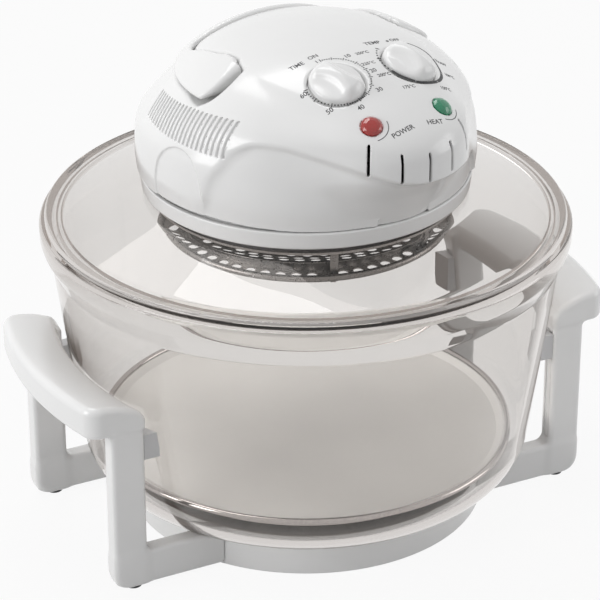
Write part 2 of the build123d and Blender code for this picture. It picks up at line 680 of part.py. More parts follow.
with BuildPart() as clamp_screws:
    with Locations((0, 0, FLANGE_LOW - 1.1)):
        with Locations(*ring_of_points(CLAMP_SCREW_R, clamp_angles)):
            Cylinder(2.8, 2.2)
    with Locations((0, 0, (FLANGE_LOW + FLOOR_TOP) / 2)):
        with Locations(*ring_of_points(CLAMP_SCREW_R, clamp_angles)):
            Cylinder(1.45, FLOOR_TOP - FLANGE_LOW)
clamp_screws.part.label = "clamp_screws"

# heater guard: perforated band, step and raised middle disc inside a rolled rim
bolt_angles = list(BRACKET_ANGLES)


def clear_of_bolts(angle, radius):
    """True where a perforation stays clear of the guard's bolts."""
    for bolt in bolt_angles:
        gap = abs((angle - bolt + 180.0) % 360.0 - 180.0)
        if radians(gap) * radius < HOLE_PITCH * 0.75:
            return False
    return True


def hole_row(radius, skip_bolts):
    """Locations of one ring of perforations."""
    count = int(round(2 * 3.14159 * radius / HOLE_PITCH))
    angles = []
    for number in range(count):
        angle = 360.0 * number / count
        if not skip_bolts or clear_of_bolts(angle, radius):
            angles.append(angle)
    return ring_of_points(radius, angles)


with BuildPart() as guard:
    bead_r = GUARD_R - GUARD_BEAD
    with BuildSketch(Plane.XZ):
        with BuildLine():
            Polyline(
                (0, GUARD_DISC_Z), (GUARD_STEP_R + GUARD_T, GUARD_DISC_Z),
                (GUARD_STEP_R + GUARD_T, GUARD_BAND_Z), (bead_r, GUARD_BAND_Z),
                (bead_r, GUARD_BAND_Z - GUARD_T), (GUARD_STEP_R, GUARD_BAND_Z - GUARD_T),
                (GUARD_STEP_R, GUARD_DISC_Z - GUARD_T), (0, GUARD_DISC_Z - GUARD_T),
                close=True,
            )
        make_face()
    revolve(axis=Axis.Z)
    with BuildSketch(Plane.XZ):
        with Locations((bead_r, GUARD_TOP - GUARD_BEAD)):
            Circle(GUARD_BEAD)
    revolve(axis=Axis.Z)
    with Locations((0, 0, GUARD_BAND_Z)):
        with Locations(*hole_row(BAND_ROW_R, True)):
            Cylinder(HOLE_R, 4.0, mode=Mode.SUBTRACT)
        with Locations(*ring_of_points(BRACKET_R - 2.6, bolt_angles)):
            Cylinder(1.6, 4.0, mode=Mode.SUBTRACT)
    for row in range(DISC_ROWS):
        with Locations((0, 0, GUARD_DISC_Z)):
            with Locations(*hole_row(DISC_ROW_R - row * HOLE_PITCH, False)):
                Cylinder(HOLE_R, 4.0, mode=Mode.SUBTRACT)
guard.part.label = "guard"


def hex_prism(radius, height):
    """A hexagonal prism standing on the XY plane."""
    with BuildPart(mode=Mode.PRIVATE) as prism:
        with BuildSketch(Plane.XY):
            RegularPolygon(radius, 6)
        extrude(amount=height)
    return prism.part


def turned(shape, angle):
    """A shape drawn at the front (-Y), turned about Z towards +X."""
    return Rot(0, 0, angle) * shape


with BuildPart() as guard_brackets:
    for angle in bolt_angles:
        strap = Pos(0, -BRACKET_R - 0.5, (GUARD_BAND_Z + FLANGE_LOW) / 2) * Box(
            5.0, 1.0, FLANGE_LOW - GUARD_BAND_Z, mode=Mode.PRIVATE)
        top_foot = Pos(0, -BRACKET_R - 4.0, FLANGE_LOW - 0.5) * Box(8.0, 8.0, 1.0, mode=Mode.PRIVATE)
        low_foot = Pos(0, -BRACKET_R + 2.6, GUARD_BAND_Z + 0.5) * Box(6.0, 6.2, 1.0, mode=Mode.PRIVATE)
        hole = Pos(0, -BRACKET_R + 2.6, GUARD_BAND_Z) * Cylinder(1.6, 6.0, mode=Mode.PRIVATE)
        add(turned(strap + top_foot + low_foot - hole, angle))
guard_brackets.part.label = "guard_brackets"

with BuildPart() as guard_bolts:
    with Locations((0, 0, GUARD_BAND_Z + 0.25)):
        with Locations(*ring_of_points(BRACKET_R - 2.6, bolt_angles)):
            Cylinder(1.5, 8.0)
    with Locations((0, 0, GUARD_BAND_Z + 2.0)):
        with Locations(*ring_of_points(BRACKET_R - 2.6, bolt_angles)):
            Cylinder(2.4, 2.0)
    for angle in bolt_angles:
        add(turned(Pos(0, -BRACKET_R + 2.6, GUARD_BAND_Z - GUARD_T - 2.8) * hex_prism(2.9, 2.8), angle))
guard_bolts.part.label = "guard_bolts"

# ---------------------------------------------------------------- head housing
boss_angles = (45.0, 135.0, 225.0, 315.0)
with BuildPart() as lower_housing:
    floor_low = COLLAR_LOW
    with BuildSketch(Plane.XZ) as collar_section:
        with BuildLine():
            Polyline(
                (FLOOR_IN_R, floor_low), (COLLAR_R, floor_low), (COLLAR_TOP_R, COLLAR_TOP),
                (COLLAR_TOP_R - COLLAR_WALL, COLLAR_TOP), (COLLAR_R - COLLAR_WALL, FLOOR_TOP),
                (SPIGOT_R, FLOOR_TOP), (SPIGOT_R, SPIGOT_TOP), (SPIGOT_R - COLLAR_WALL, SPIGOT_TOP),
                (SPIGOT_R - COLLAR_WALL, FLOOR_TOP), (FLOOR_IN_R, FLOOR_TOP),
                close=True,
            )
        make_face()
        fillet(collar_section.vertices().sort_by_distance(Vector(COLLAR_R, floor_low))[0], 2.2)
        fillet(collar_section.vertices().sort_by_distance(Vector(COLLAR_TOP_R, COLLAR_TOP))[0], 1.0)
    revolve(axis=Axis.Z)
    with Locations((0, 0, floor_low)):
        with Locations(*ring_of_points(BOSS_AT, boss_angles)):
            Cylinder(1.7, 20.0, mode=Mode.SUBTRACT)
            Cylinder(3.3, 2 * SCREW_SINK, mode=Mode.SUBTRACT)
        with Locations(*ring_of_points(CLAMP_SCREW_R, clamp_angles)):
            Cylinder(1.5, 20.0, mode=Mode.SUBTRACT)
lower_housing.part.label = "lower_housing"

with BuildPart() as housing_screws:
    with Locations((0, 0, COLLAR_LOW + SCREW_SINK - 1.0)):
        with Locations(*ring_of_points(BOSS_AT, boss_angles)):
            Cylinder(3.0, 2.0)
    with Locations((0, 0, COLLAR_LOW + SCREW_SINK + 9.0)):
        with Locations(*ring_of_points(BOSS_AT, boss_angles)):
            Cylinder(1.55, 18.2)
housing_screws.part.label = "housing_screws"


def ledge_wedge(half_width, back, corner, drop):
    """The U-shaped space round the deck that the carry handle lies in."""
    low_front = LEDGE_AT_PIVOT - drop
    low_back = low_front - LEDGE_SLOPE * 130.0
    with BuildPart(mode=Mode.PRIVATE) as space:
        with BuildSketch(Plane.YZ.offset(-130.0)):
            with BuildLine():
                Polyline(
                    (PIVOT_Y, low_front), (PIVOT_Y + 130.0, low_back), (PIVOT_Y + 130.0, 340.0),
                    (PIVOT_Y, 340.0), close=True,
                )
            make_face()
        extrude(amount=260.0)
        with BuildSketch(Plane.XY.offset(230.0)):
            with Locations((0, back - 60.0)):
                RectangleRounded(2 * half_width, 120.0, corner)
        extrude(amount=120.0, mode=Mode.SUBTRACT)
    return space.part


def pocket(radius, half_width):
    """Round space about the pivot axis, outside the deck on both sides."""
    length = 130.0 - half_width
    shape = None
    for side in (1, -1):
        drum = Pos(side * (half_width + length / 2), PIVOT_Y, PIVOT_Z) * Rot(0, 90, 0) * Cylinder(
            radius, length, mode=Mode.PRIVATE)
        above = Pos(side * (half_width + length / 2), PIVOT_Y, PIVOT_Z + 20.0) * Box(
            length, 2 * radius, 40.0, mode=Mode.PRIVATE)
        both = drum + above
        shape = both if shape is None else shape + both
    return shape


def pocket_drum(radius, half_width):
    """The round ends of the handle's arms."""
    length = 130.0 - half_width
    ends = None
    for side in (1, -1):
        drum = Pos(side * (half_width + length / 2), PIVOT_Y, PIVOT_Z) * Rot(0, 90, 0) * Cylinder(
            radius, length, mode=Mode.PRIVATE)
        ends = drum if ends is None else ends + drum
    return ends


dome = dome_solid(DOME)
scallop_wall = dome_solid(scallop_levels, ruled=True)
cavity = dome_solid(cavity_levels, ruled=True)
handle_space = ledge_wedge(DECK_X, DECK_Y, DECK_CORNER, 0.0) + pocket(POCKET_R, DECK_X)
ledge_walls = ledge_wedge(DECK_X - LEDGE_WALL, DECK_Y - LEDGE_WALL, DECK_CORNER - LEDGE_WALL, LEDGE_WALL)
handle_walls = ledge_walls + pocket(POCKET_R + LEDGE_WALL, DECK_X - LEDGE_WALL)

with BuildPart(mode=Mode.PRIVATE) as visor_cut:
    with BuildSketch(Plane.XZ.offset(20.0)):
        with BuildLine():
            edge = Spline(*VISOR_EDGE)
            Line(edge @ 1, edge @ 0)
        make_face()
    extrude(amount=130.0)
    add(scallop_wall, mode=Mode.SUBTRACT)

# shallow pressed panel on each flank
with BuildPart(mode=Mode.PRIVATE) as flank_cut:
    with BuildSketch(Plane.YZ.offset(60.0)):
        with BuildLine():
            arch = Spline(*FLANK_EDGE)
            Line(arch @ 1, arch @ 0)
        make_face()
    extrude(amount=70.0)
    add(mirror(flank_cut.part, about=Plane.YZ))
    add(dome_solid(shrink(DOME[:6], FLANK_DEPTH)), mode=Mode.SUBTRACT)

louvre_angles = []
for number in range(LOUVRE_COUNT):
    louvre_angles.append(LOUVRE_FIRST + number * LOUVRE_PITCH)
    louvre_angles.append(-LOUVRE_FIRST - number * LOUVRE_PITCH)

with BuildPart() as upper_housing:
    add(dome)
    add(cavity - handle_walls, mode=Mode.SUBTRACT)
    add(visor_cut.part, mode=Mode.SUBTRACT)
    add(flank_cut.part, mode=Mode.SUBTRACT)
    add(handle_space, mode=Mode.SUBTRACT)
    # screw bosses, tied to the wall by ribs
    for angle in boss_angles:
        boss = Pos(0, -BOSS_AT, (FLOOR_TOP + SEAT + BOSS_TOP) / 2) * Cylinder(
            BOSS_R, BOSS_TOP - FLOOR_TOP - SEAT, mode=Mode.PRIVATE)
        rib = Pos(0, -BOSS_AT - 6.0, (SPIGOT_TOP + 1.0 + BOSS_TOP) / 2) * Box(
            3.0, 13.0, BOSS_TOP - SPIGOT_TOP - 1.0, mode=Mode.PRIVATE)
        add(turned(boss + rib, angle))
    with Locations((0, 0, FLOOR_TOP + 9.0)):
        with Locations(*ring_of_points(BOSS_AT, boss_angles)):
            Cylinder(1.6, 20.0, mode=Mode.SUBTRACT)
    # dished recesses for the two knobs
    for plane in (timer_plane, heat_plane):
        add(post(plane, RECESS_R + 2.2, -RECESS_DEPTH - LEDGE_WALL, -1.5))
        add(post(plane, RECESS_R, -RECESS_DEPTH, 12.0), mode=Mode.SUBTRACT)
        add(post(plane, SHAFT_R + 0.6, -12.0, 0.0), mode=Mode.SUBTRACT)
    for plane in (power_lamp_plane, heat_lamp_plane):
        add(post(plane, LENS_SHANK_R + LENS_FIT, -14.0, 8.0), mode=Mode.SUBTRACT)
        add(post(plane, LENS_R + LENS_FIT, LENS_SEAT, 8.0), mode=Mode.SUBTRACT)
    # slots in the visor
    for number in range(5):
        x = (number - 2) * SLOT_PITCH
        slot_mid = (SLOT_LOW[number] + SLOT_HIGH[number]) / 2
        with Locations((x, -118.0, slot_mid)):
            Box(SLOT_W, 34.0, SLOT_HIGH[number] - SLOT_LOW[number], mode=Mode.SUBTRACT)
    # louvres
    for angle in louvre_angles:
        cutter = Pos(0, -90.0, LOUVRE_MID) * Rot(LOUVRE_TILT, 0, 0) * Box(
            LOUVRE_W, 40.0, LOUVRE_H, mode=Mode.PRIVATE)
        add(turned(cutter, angle), mode=Mode.SUBTRACT)
    # carry handle pins and the switch plunger
    boss_x = DECK_X - LEDGE_WALL - 3.0
    with Locations((boss_x, PIVOT_Y, PIVOT_Z), (-boss_x, PIVOT_Y, PIVOT_Z)):
        Cylinder(6.0, 7.0, rotation=(0, 90, 0))
    with Locations((0, PIVOT_Y, PIVOT_Z)):
        with Locations((DECK_X - 4.0, 0, 0), (-DECK_X + 4.0, 0, 0)):
            Cylinder(PIN_R, 14.0, rotation=(0, 90, 0), mode=Mode.SUBTRACT)
    with Locations((SWITCH_POST_X, PLUNGER_Y, SWITCH_TOP + SWITCH_POST_L / 2),
                   (-SWITCH_POST_X, PLUNGER_Y, SWITCH_TOP + SWITCH_POST_L / 2)):
        Cylinder(SWITCH_POST_R, SWITCH_POST_L)
    with Locations((0, PLUNGER_Y, LEDGE_AT_PIVOT - 12.0)):
        Cylinder(PLUNGER_R + RUN, 20.0, mode=Mode.SUBTRACT)
    with Locations((0, 100.0, CORD_Z)):
        Cylinder(CORD_BUSH_R, 30.0, rotation=(90, 0, 0), mode=Mode.SUBTRACT)
upper_housing.part.label = "upper_housing"

with BuildPart() as cord_bush:
    with Locations((0, 104.0, CORD_Z)):
        Cylinder(CORD_BUSH_R, 14.0, rotation=(90, 0, 0))
    with Locations((0, 108.1, CORD_Z)):
        Cylinder(CORD_BUSH_R + 2.0, 3.2, rotation=(90, 0, 0))
    with Locations((0, 104.0, CORD_Z)):
        Cylinder(3.6, 40.0, rotation=(90, 0, 0), mode=Mode.SUBTRACT)
cord_bush.part.label = "cord_bush"

with BuildPart() as handle_pins:
    with Locations((PIN_IN + PIN_L / 2, PIVOT_Y, PIVOT_Z), (-PIN_IN - PIN_L / 2, PIVOT_Y, PIVOT_Z)):
        Cylinder(PIN_R, PIN_L, rotation=(0, 90, 0))
handle_pins.part.label = "handle_pins"

with BuildPart() as carry_handle:
    add(dome_solid(shrink(DOME[4:], -HANDLE_RAISE)))
    reach = ledge_wedge(DECK_X + HANDLE_GAP, DECK_Y + HANDLE_GAP, DECK_CORNER + HANDLE_GAP, -HANDLE_GAP)
    add(reach + pocket_drum(PIVOT_END_R, DECK_X + HANDLE_GAP), mode=Mode.INTERSECT)
    with Locations((PIN_IN + PIN_L / 2, PIVOT_Y, PIVOT_Z), (-PIN_IN - PIN_L / 2, PIVOT_Y, PIVOT_Z)):
        Cylinder(PIN_R + RUN, PIN_L + 1.0, rotation=(0, 90, 0), mode=Mode.SUBTRACT)
carry_handle.part.label = "carry_handle"

ledge_at_plunger = LEDGE_AT_PIVOT - LEDGE_SLOPE * (PLUNGER_Y - PIVOT_Y)
plunger_low = SWITCH_TOP + FLANGE_GAP
plunger_top = ledge_at_plunger + HANDLE_GAP - 0.3
with BuildPart() as switch_plunger:
    with Locations((0, PLUNGER_Y, (plunger_low + plunger_top) / 2)):
        Cylinder(PLUNGER_R, plunger_top - plunger_low)
    with Locations((0, PLUNGER_Y, plunger_low + 0.1 + PLUNGER_FLANGE_T / 2)):
        Cylinder(PLUNGER_FLANGE_R, PLUNGER_FLANGE_T)
switch_plunger.part.label = "switch_plunger"

with BuildPart() as microswitch:
    with Locations((0, PLUNGER_Y, SWITCH_TOP - SWITCH_H / 2)):
        Box(SWITCH_L, SWITCH_T, SWITCH_H)
    for x in (-SWITCH_L / 4, SWITCH_L / 4):
        with Locations((x, PLUNGER_Y + SWITCH_T / 2, SWITCH_TOP - SWITCH_H / 2)):
            Cylinder(1.5, 2 * SWITCH_T, rotation=(90, 0, 0), mode=Mode.SUBTRACT)
microswitch.part.label = "microswitch"

# ---------------------------------------------------------------- controls
def shaft_shape(radius, low, high, flat_at):
    """A shaft on the Z axis with a flat along its outer end."""
    rod = Pos(0, 0, (low + high) / 2) * Cylinder(radius, high - low, mode=Mode.PRIVATE)
    flat = Pos(0, flat_at + radius, 10.0 + KNOB_LOW) * Box(3 * radius, 2 * radius, 20.0, mode=Mode.PRIVATE)
    return rod - flat


with BuildPart(mode=Mode.PRIVATE) as knob:
    with Locations((0, 0, (KNOB_LOW + KNOB_EDGE) / 2)):
        Cylinder(KNOB_R, KNOB_EDGE - KNOB_LOW)
    fillet(knob.edges().group_by(Axis.Z)[-1], 1.2)
    with BuildSketch(Plane.XY.offset(KNOB_LOW + 1.0)):
        RectangleRounded(KNOB_BAR_W, KNOB_BAR_L, KNOB_BAR_W / 2 - 0.5)
    with BuildSketch(Plane.XY.offset(KNOB_TOP)):
        RectangleRounded(KNOB_CREST_W, KNOB_CREST_L, KNOB_CREST_W / 2 - 0.2)
    loft()
    fillet(knob.edges().group_by(Axis.Z)[-1], 2.0)
    bore = shaft_shape(SHAFT_R + RUN, KNOB_LOW - 1.0, KNOB_BORE_TOP, SHAFT_R - SHAFT_FLAT + RUN)
    add(bore, mode=Mode.SUBTRACT)

movement_top = -RECESS_DEPTH - LEDGE_WALL
movement_low = movement_top - MOVEMENT_L
with BuildPart(mode=Mode.PRIVATE) as movement_bore:
    add(shaft_shape(SHAFT_R + RUN, SHAFT_LOW - SEAT, SHAFT_TOP, SHAFT_R + 1.0))

with BuildPart(mode=Mode.PRIVATE) as round_movement:
    with Locations((0, 0, (movement_top + movement_low) / 2)):
        Cylinder(MOVEMENT_R, MOVEMENT_L)
    add(movement_bore.part, mode=Mode.SUBTRACT)
    with Locations((6.0, 0, movement_low - MOVEMENT_TAB / 2), (-6.0, 0, movement_low - MOVEMENT_TAB / 2)):
        Box(0.8, 6.0, MOVEMENT_TAB)

with BuildPart(mode=Mode.PRIVATE) as square_movement:
    with BuildSketch(Plane.XY.offset(movement_low)):
        RectangleRounded(MOVEMENT_SIDE, MOVEMENT_SIDE, 2.0)
    extrude(amount=MOVEMENT_L)
    add(movement_bore.part, mode=Mode.SUBTRACT)
    with Locations((6.0, 0, movement_low - MOVEMENT_TAB / 2), (-6.0, 0, movement_low - MOVEMENT_TAB / 2)):
        Box(0.8, 6.0, MOVEMENT_TAB)

with BuildPart() as timer_knob:
    add(timer_plane.location * Rot(0, 0, KNOB_TURN) * knob.part)
timer_knob.part.label = "timer_knob"

with BuildPart() as thermostat_knob:
    add(heat_plane.location * Rot(0, 0, KNOB_TURN) * knob.part)
thermostat_knob.part.label = "thermostat_knob"

shaft_blank = shaft_shape(SHAFT_R, SHAFT_LOW, SHAFT_TOP, SHAFT_R - SHAFT_FLAT)
with BuildPart() as timer_shaft:
    add(timer_plane.location * Rot(0, 0, KNOB_TURN) * shaft_blank)
timer_shaft.part.label = "timer_shaft"

with BuildPart() as thermostat_shaft:
    add(heat_plane.location * Rot(0, 0, KNOB_TURN) * shaft_blank)
thermostat_shaft.part.label = "thermostat_shaft"

with BuildPart() as timer_movement:
    add(timer_plane.location * round_movement.part)
timer_movement.part.label = "timer_movement"

with BuildPart() as thermostat_body:
    add(heat_plane.location * square_movement.part)
thermostat_body.part.label = "thermostat_body"

with BuildPart(mode=Mode.PRIVATE) as lens:
    with BuildSketch(Plane.XZ):
        with BuildLine():
            Line((0, LENS_SEAT), (0, LENS_H))
            ThreePointArc((0, LENS_H), (LENS_R * 0.62, LENS_H * 0.78), (LENS_R, LENS_EDGE))
            Line((LENS_R, LENS_EDGE), (LENS_R, LENS_SEAT))
            Line((LENS_R, LENS_SEAT), (0, LENS_SEAT))
        make_face()
    revolve(axis=Axis.Z)
    with Locations((0, 0, (LENS_SHANK_LOW + LENS_SEAT) / 2)):
        Cylinder(LENS_SHANK_R, LENS_SEAT - LENS_SHANK_LOW)
    with Locations((0, 0, (LENS_SHANK_LOW - 1.0 + LENS_SEAT) / 2)):
        Cylinder(LENS_BORE_R, LENS_SEAT - LENS_SHANK_LOW + 1.0, mode=Mode.SUBTRACT)

with BuildPart() as power_lens:
    add(power_lamp_plane.location * lens.part)
power_lens.part.label = "power_lens"

with BuildPart() as heat_lens:
    add(heat_lamp_plane.location * lens.part)
heat_lens.part.label = "heat_lens"

with BuildPart() as power_neon:
    add(post(power_lamp_plane, LENS_BORE_R - RUN, NEON_LOW, NEON_TOP))
power_neon.part.label = "power_neon"

with BuildPart() as heat_neon:
    add(post(heat_lamp_plane, LENS_BORE_R - RUN, NEON_LOW, NEON_TOP))
heat_neon.part.label = "heat_neon"

# ---------------------------------------------------------------- heater
with BuildPart() as halogen_tube:
    with BuildLine() as tube_path:
        CenterArc((0, 0, TUBE_Z), TUBE_RING_R, 90.0 + TUBE_GAP / 2, 360.0 - TUBE_GAP)
    with BuildSketch(Plane(origin=tube_path.line @ 0, z_dir=tube_path.line % 0)):
        Circle(TUBE_R)
    sweep(path=tube_path.line)
halogen_tube.part.label = "halogen_tube"

holder_turn = 180.0 - TUBE_GAP / 2
with BuildPart(mode=Mode.PRIVATE) as lamp_holder:
    with Locations((HOLDER_L / 2 - HOLDER_GRIP, -TUBE_RING_R, (HOLDER_LOW + PLATE_LOW) / 2)):
        Box(HOLDER_L, HOLDER_W, PLATE_LOW - HOLDER_LOW)
    fillet(lamp_holder.edges().filter_by(Axis.X).group_by(Axis.Z)[0], 3.0)
    with Locations((-HOLDER_GRIP / 2 - 0.5, -TUBE_RING_R, TUBE_Z)):
        Cylinder(TUBE_R + 0.2, HOLDER_GRIP + 1.2, rotation=(0, 90, 0), mode=Mode.SUBTRACT)

with BuildPart() as lamp_holders:
    add(turned(lamp_holder.part, holder_turn))
    add(mirror(turned(lamp_holder.part, holder_turn), about=Plane.YZ))
lamp_holders.part.label = "lamp_holders"

with BuildPart() as tube_clips:
    for angle in CLIP_ANGLES:
        hoop = Pos(0, -TUBE_RING_R, TUBE_Z) * Rot(0, 90, 0) * (
            Cylinder(TUBE_R + CLIP_WALL + 0.2, CLIP_L, mode=Mode.PRIVATE)
            - Cylinder(TUBE_R + 0.2, CLIP_L + 2.0, mode=Mode.PRIVATE)
        )
        stem_low = TUBE_Z + TUBE_R + 0.6
        stem = Pos(0, -TUBE_RING_R, (stem_low + PLATE_LOW) / 2) * Box(
            CLIP_L, 1.6, PLATE_LOW - stem_low, mode=Mode.PRIVATE)
        add(turned(hoop + stem, angle))
tube_clips.part.label = "tube_clips"

with BuildPart() as thermostat_probe:
    with Locations((PROBE_X, 0, PROBE_Z)):
        Cylinder(PROBE_R, PROBE_L, rotation=(90, 0, 0))
    fillet(thermostat_probe.edges().filter_by(GeomType.CIRCLE), 1.0)
    for y in (-PROBE_CLIP_Y, PROBE_CLIP_Y):
        with Locations((PROBE_X, y, (PROBE_Z + PLATE_LOW) / 2)):
            Box(1.2, 4.0, PLATE_LOW - PROBE_Z)
thermostat_probe.part.label = "thermostat_probe"

# ---------------------------------------------------------------- drive
shield_top = FLOOR_TOP + SHIELD_T
with BuildPart() as heat_shield:
    with Locations((0, 0, FLOOR_TOP + SHIELD_T / 2)):
        Cylinder(SHIELD_R, SHIELD_T)
        Cylinder(SHIELD_IN_R, 4 * SHIELD_T, mode=Mode.SUBTRACT)
    with Locations((0, 0, FLOOR_TOP)):
        with Locations(*ring_of_points(FOOT_SCREW_R, (0.0, 120.0, 240.0))):
            Cylinder(1.6, 6.0, mode=Mode.SUBTRACT)
heat_shield.part.label = "heat_shield"

bracket_angles = (0.0, 120.0, 240.0)
motor_screw_angles = (60.0, 180.0, 300.0)
with BuildPart() as motor_bracket:
    with Locations((0, 0, MOTOR_LOW - BRACKET_T / 2)):
        Cylinder(BRACKET_DISC_R, BRACKET_T)
        Cylinder(BRACKET_HOLE_R, 4 * BRACKET_T, mode=Mode.SUBTRACT)
        with Locations(*ring_of_points(MOTOR_SCREW_AT, motor_screw_angles)):
            Cylinder(1.6, 4 * BRACKET_T, mode=Mode.SUBTRACT)
    leg_y = -BRACKET_DISC_R + BRACKET_T / 2
    for angle in bracket_angles:
        upright_leg = Pos(0, leg_y, (shield_top + MOTOR_LOW) / 2) * Box(
            BRACKET_LEG_W, BRACKET_T, MOTOR_LOW - shield_top, mode=Mode.PRIVATE)
        foot = Pos(0, leg_y - BRACKET_FOOT / 2, shield_top + BRACKET_T / 2) * Box(
            BRACKET_LEG_W, BRACKET_FOOT, BRACKET_T, mode=Mode.PRIVATE)
        hole = Pos(0, -FOOT_SCREW_R, shield_top) * Cylinder(1.6, 6.0, mode=Mode.PRIVATE)
        add(turned(upright_leg + foot - hole, angle))
motor_bracket.part.label = "motor_bracket"

with BuildPart() as bracket_screws:
    foot_top = shield_top + BRACKET_T
    for angle in bracket_angles:
        head = Pos(0, -FOOT_SCREW_R, foot_top + 0.9) * Cylinder(2.8, 1.8, mode=Mode.PRIVATE)
        shank = Pos(0, -FOOT_SCREW_R, (FLOOR_TOP - 2.6 + foot_top) / 2) * Cylinder(
            1.5, foot_top - FLOOR_TOP + 2.6, mode=Mode.PRIVATE)
        nut = Pos(0, -FOOT_SCREW_R, FLOOR_TOP - 2.2) * hex_prism(2.9, 2.2)
        add(turned(head + shank + nut, angle))
bracket_screws.part.label = "bracket_screws"

motor_top = MOTOR_LOW + MOTOR_H
with BuildPart() as motor:
    with Locations((0, 0, MOTOR_LOW + MOTOR_H / 2)):
        Cylinder(MOTOR_R, MOTOR_H)
    fillet(motor.edges().filter_by(GeomType.CIRCLE), 2.5)
    with Locations((0, 0, motor_top + MOTOR_BOSS_H / 2)):
        Cylinder(MOTOR_BOSS_R, MOTOR_BOSS_H)
    with Locations((0, 0, MOTOR_LOW + MOTOR_H / 2)):
        Cylinder(MOTOR_SHAFT_R + RUN, 2 * MOTOR_H, mode=Mode.SUBTRACT)
    with Locations((0, 0, MOTOR_LOW)):
        with Locations(*ring_of_points(MOTOR_SCREW_AT, motor_screw_angles)):
            Cylinder(1.5, 16.0, mode=Mode.SUBTRACT)
motor.part.label = "motor"

with BuildPart() as motor_screws:
    with Locations((0, 0, MOTOR_LOW - BRACKET_T - 0.8)):
        with Locations(*ring_of_points(MOTOR_SCREW_AT, motor_screw_angles)):
            Cylinder(2.8, 1.6)
    with Locations((0, 0, MOTOR_LOW + 2.0)):
        with Locations(*ring_of_points(MOTOR_SCREW_AT, motor_screw_angles)):
            Cylinder(1.45, 2 * (BRACKET_T + 2.2))
motor_screws.part.label = "motor_screws"

with BuildPart() as motor_shaft:
    with Locations((0, 0, (MOTOR_SHAFT_LOW + MOTOR_SHAFT_TOP) / 2)):
        Cylinder(MOTOR_SHAFT_R, MOTOR_SHAFT_TOP - MOTOR_SHAFT_LOW)
motor_shaft.part.label = "motor_shaft"

with BuildPart() as hot_air_fan:
    with Locations((0, 0, HOT_FAN_Z + HOT_FAN_H - BLADE_T / 2)):
        Cylinder(HOT_FAN_R, BLADE_T)
    with Locations((0, 0, HOT_FAN_Z + HOT_FAN_H / 2)):
        Cylinder(HUB_R, HOT_FAN_H)
    for number in range(HOT_BLADES):
        blade = Pos(0, -(HUB_R + HOT_FAN_R) / 2, HOT_FAN_Z + HOT_FAN_H / 2) * Box(
            BLADE_T, HOT_FAN_R - HUB_R - 2.0, HOT_FAN_H, mode=Mode.PRIVATE)
        add(turned(blade, number * 360.0 / HOT_BLADES))
    with Locations((0, 0, HOT_FAN_Z)):
        Cylinder(MOTOR_SHAFT_R, 4 * HOT_FAN_H, mode=Mode.SUBTRACT)
hot_air_fan.part.label = "hot_air_fan"

with BuildPart() as fan_nut:
    add(Pos(0, 0, HOT_FAN_Z - FAN_NUT_H) * hex_prism(FAN_NUT_R, FAN_NUT_H))
    with Locations((0, 0, HOT_FAN_Z)):
        Cylinder(MOTOR_SHAFT_R, 4 * FAN_NUT_H, mode=Mode.SUBTRACT)
fan_nut.part.label = "fan_nut"

with BuildPart() as cooling_fan:
    with Locations((0, 0, COOL_FAN_Z + COOL_FAN_H / 2)):
        Cylinder(HUB_R, COOL_FAN_H)
    for number in range(COOL_BLADES):
        blade = Pos(0, -COOL_FAN_R / 2 - 2.0, COOL_FAN_Z + COOL_FAN_H / 2) * Rot(0, COOL_BLADE_TILT, 0) * Box(
            COOL_BLADE_W, COOL_FAN_R - 4.0, BLADE_T, mode=Mode.PRIVATE)
        add(turned(blade, number * 360.0 / COOL_BLADES))
    with Locations((0, 0, COOL_FAN_Z)):
        Cylinder(MOTOR_SHAFT_R, 4 * COOL_FAN_H, mode=Mode.SUBTRACT)
cooling_fan.part.label = "cooling_fan"

# ---------------------------------------------------------------- electrics
with BuildPart() as terminal_block:
    with Locations((0, TERMINAL_Y, shield_top + TERMINAL_H / 2)):
        Box(TERMINAL_L, TERMINAL_W, TERMINAL_H)
    fillet(terminal_block.edges().filter_by(Axis.X).group_by(Axis.Z)[-1], 2.0)
    for x in (-10.0, 0.0, 10.0):
        with Locations((x, TERMINAL_Y + TERMINAL_W / 4, shield_top + TERMINAL_H)):
            Cylinder(2.0, 8.0, mode=Mode.SUBTRACT)
terminal_block.part.label = "terminal_block"

with BuildPart() as thermal_cutout:
    cutout = Pos(0, -CUTOUT_AT, shield_top + CUTOUT_H / 2) * Cylinder(CUTOUT_R, CUTOUT_H, mode=Mode.PRIVATE)
    tabs = Pos(0, -CUTOUT_AT, shield_top + CUTOUT_H + 0.5) * Box(22.0, 5.0, 1.0, mode=Mode.PRIVATE)
    add(turned(cutout + tabs, CUTOUT_ANGLE))
thermal_cutout.part.label = "thermal_cutout"


def point_on(plane, x, y, z):
    """A point given in a plane's own coordinates, in the object's frame."""
    spot = plane.from_local_coords(Vector(x, y, z))
    return (spot.X, spot.Y, spot.Z)


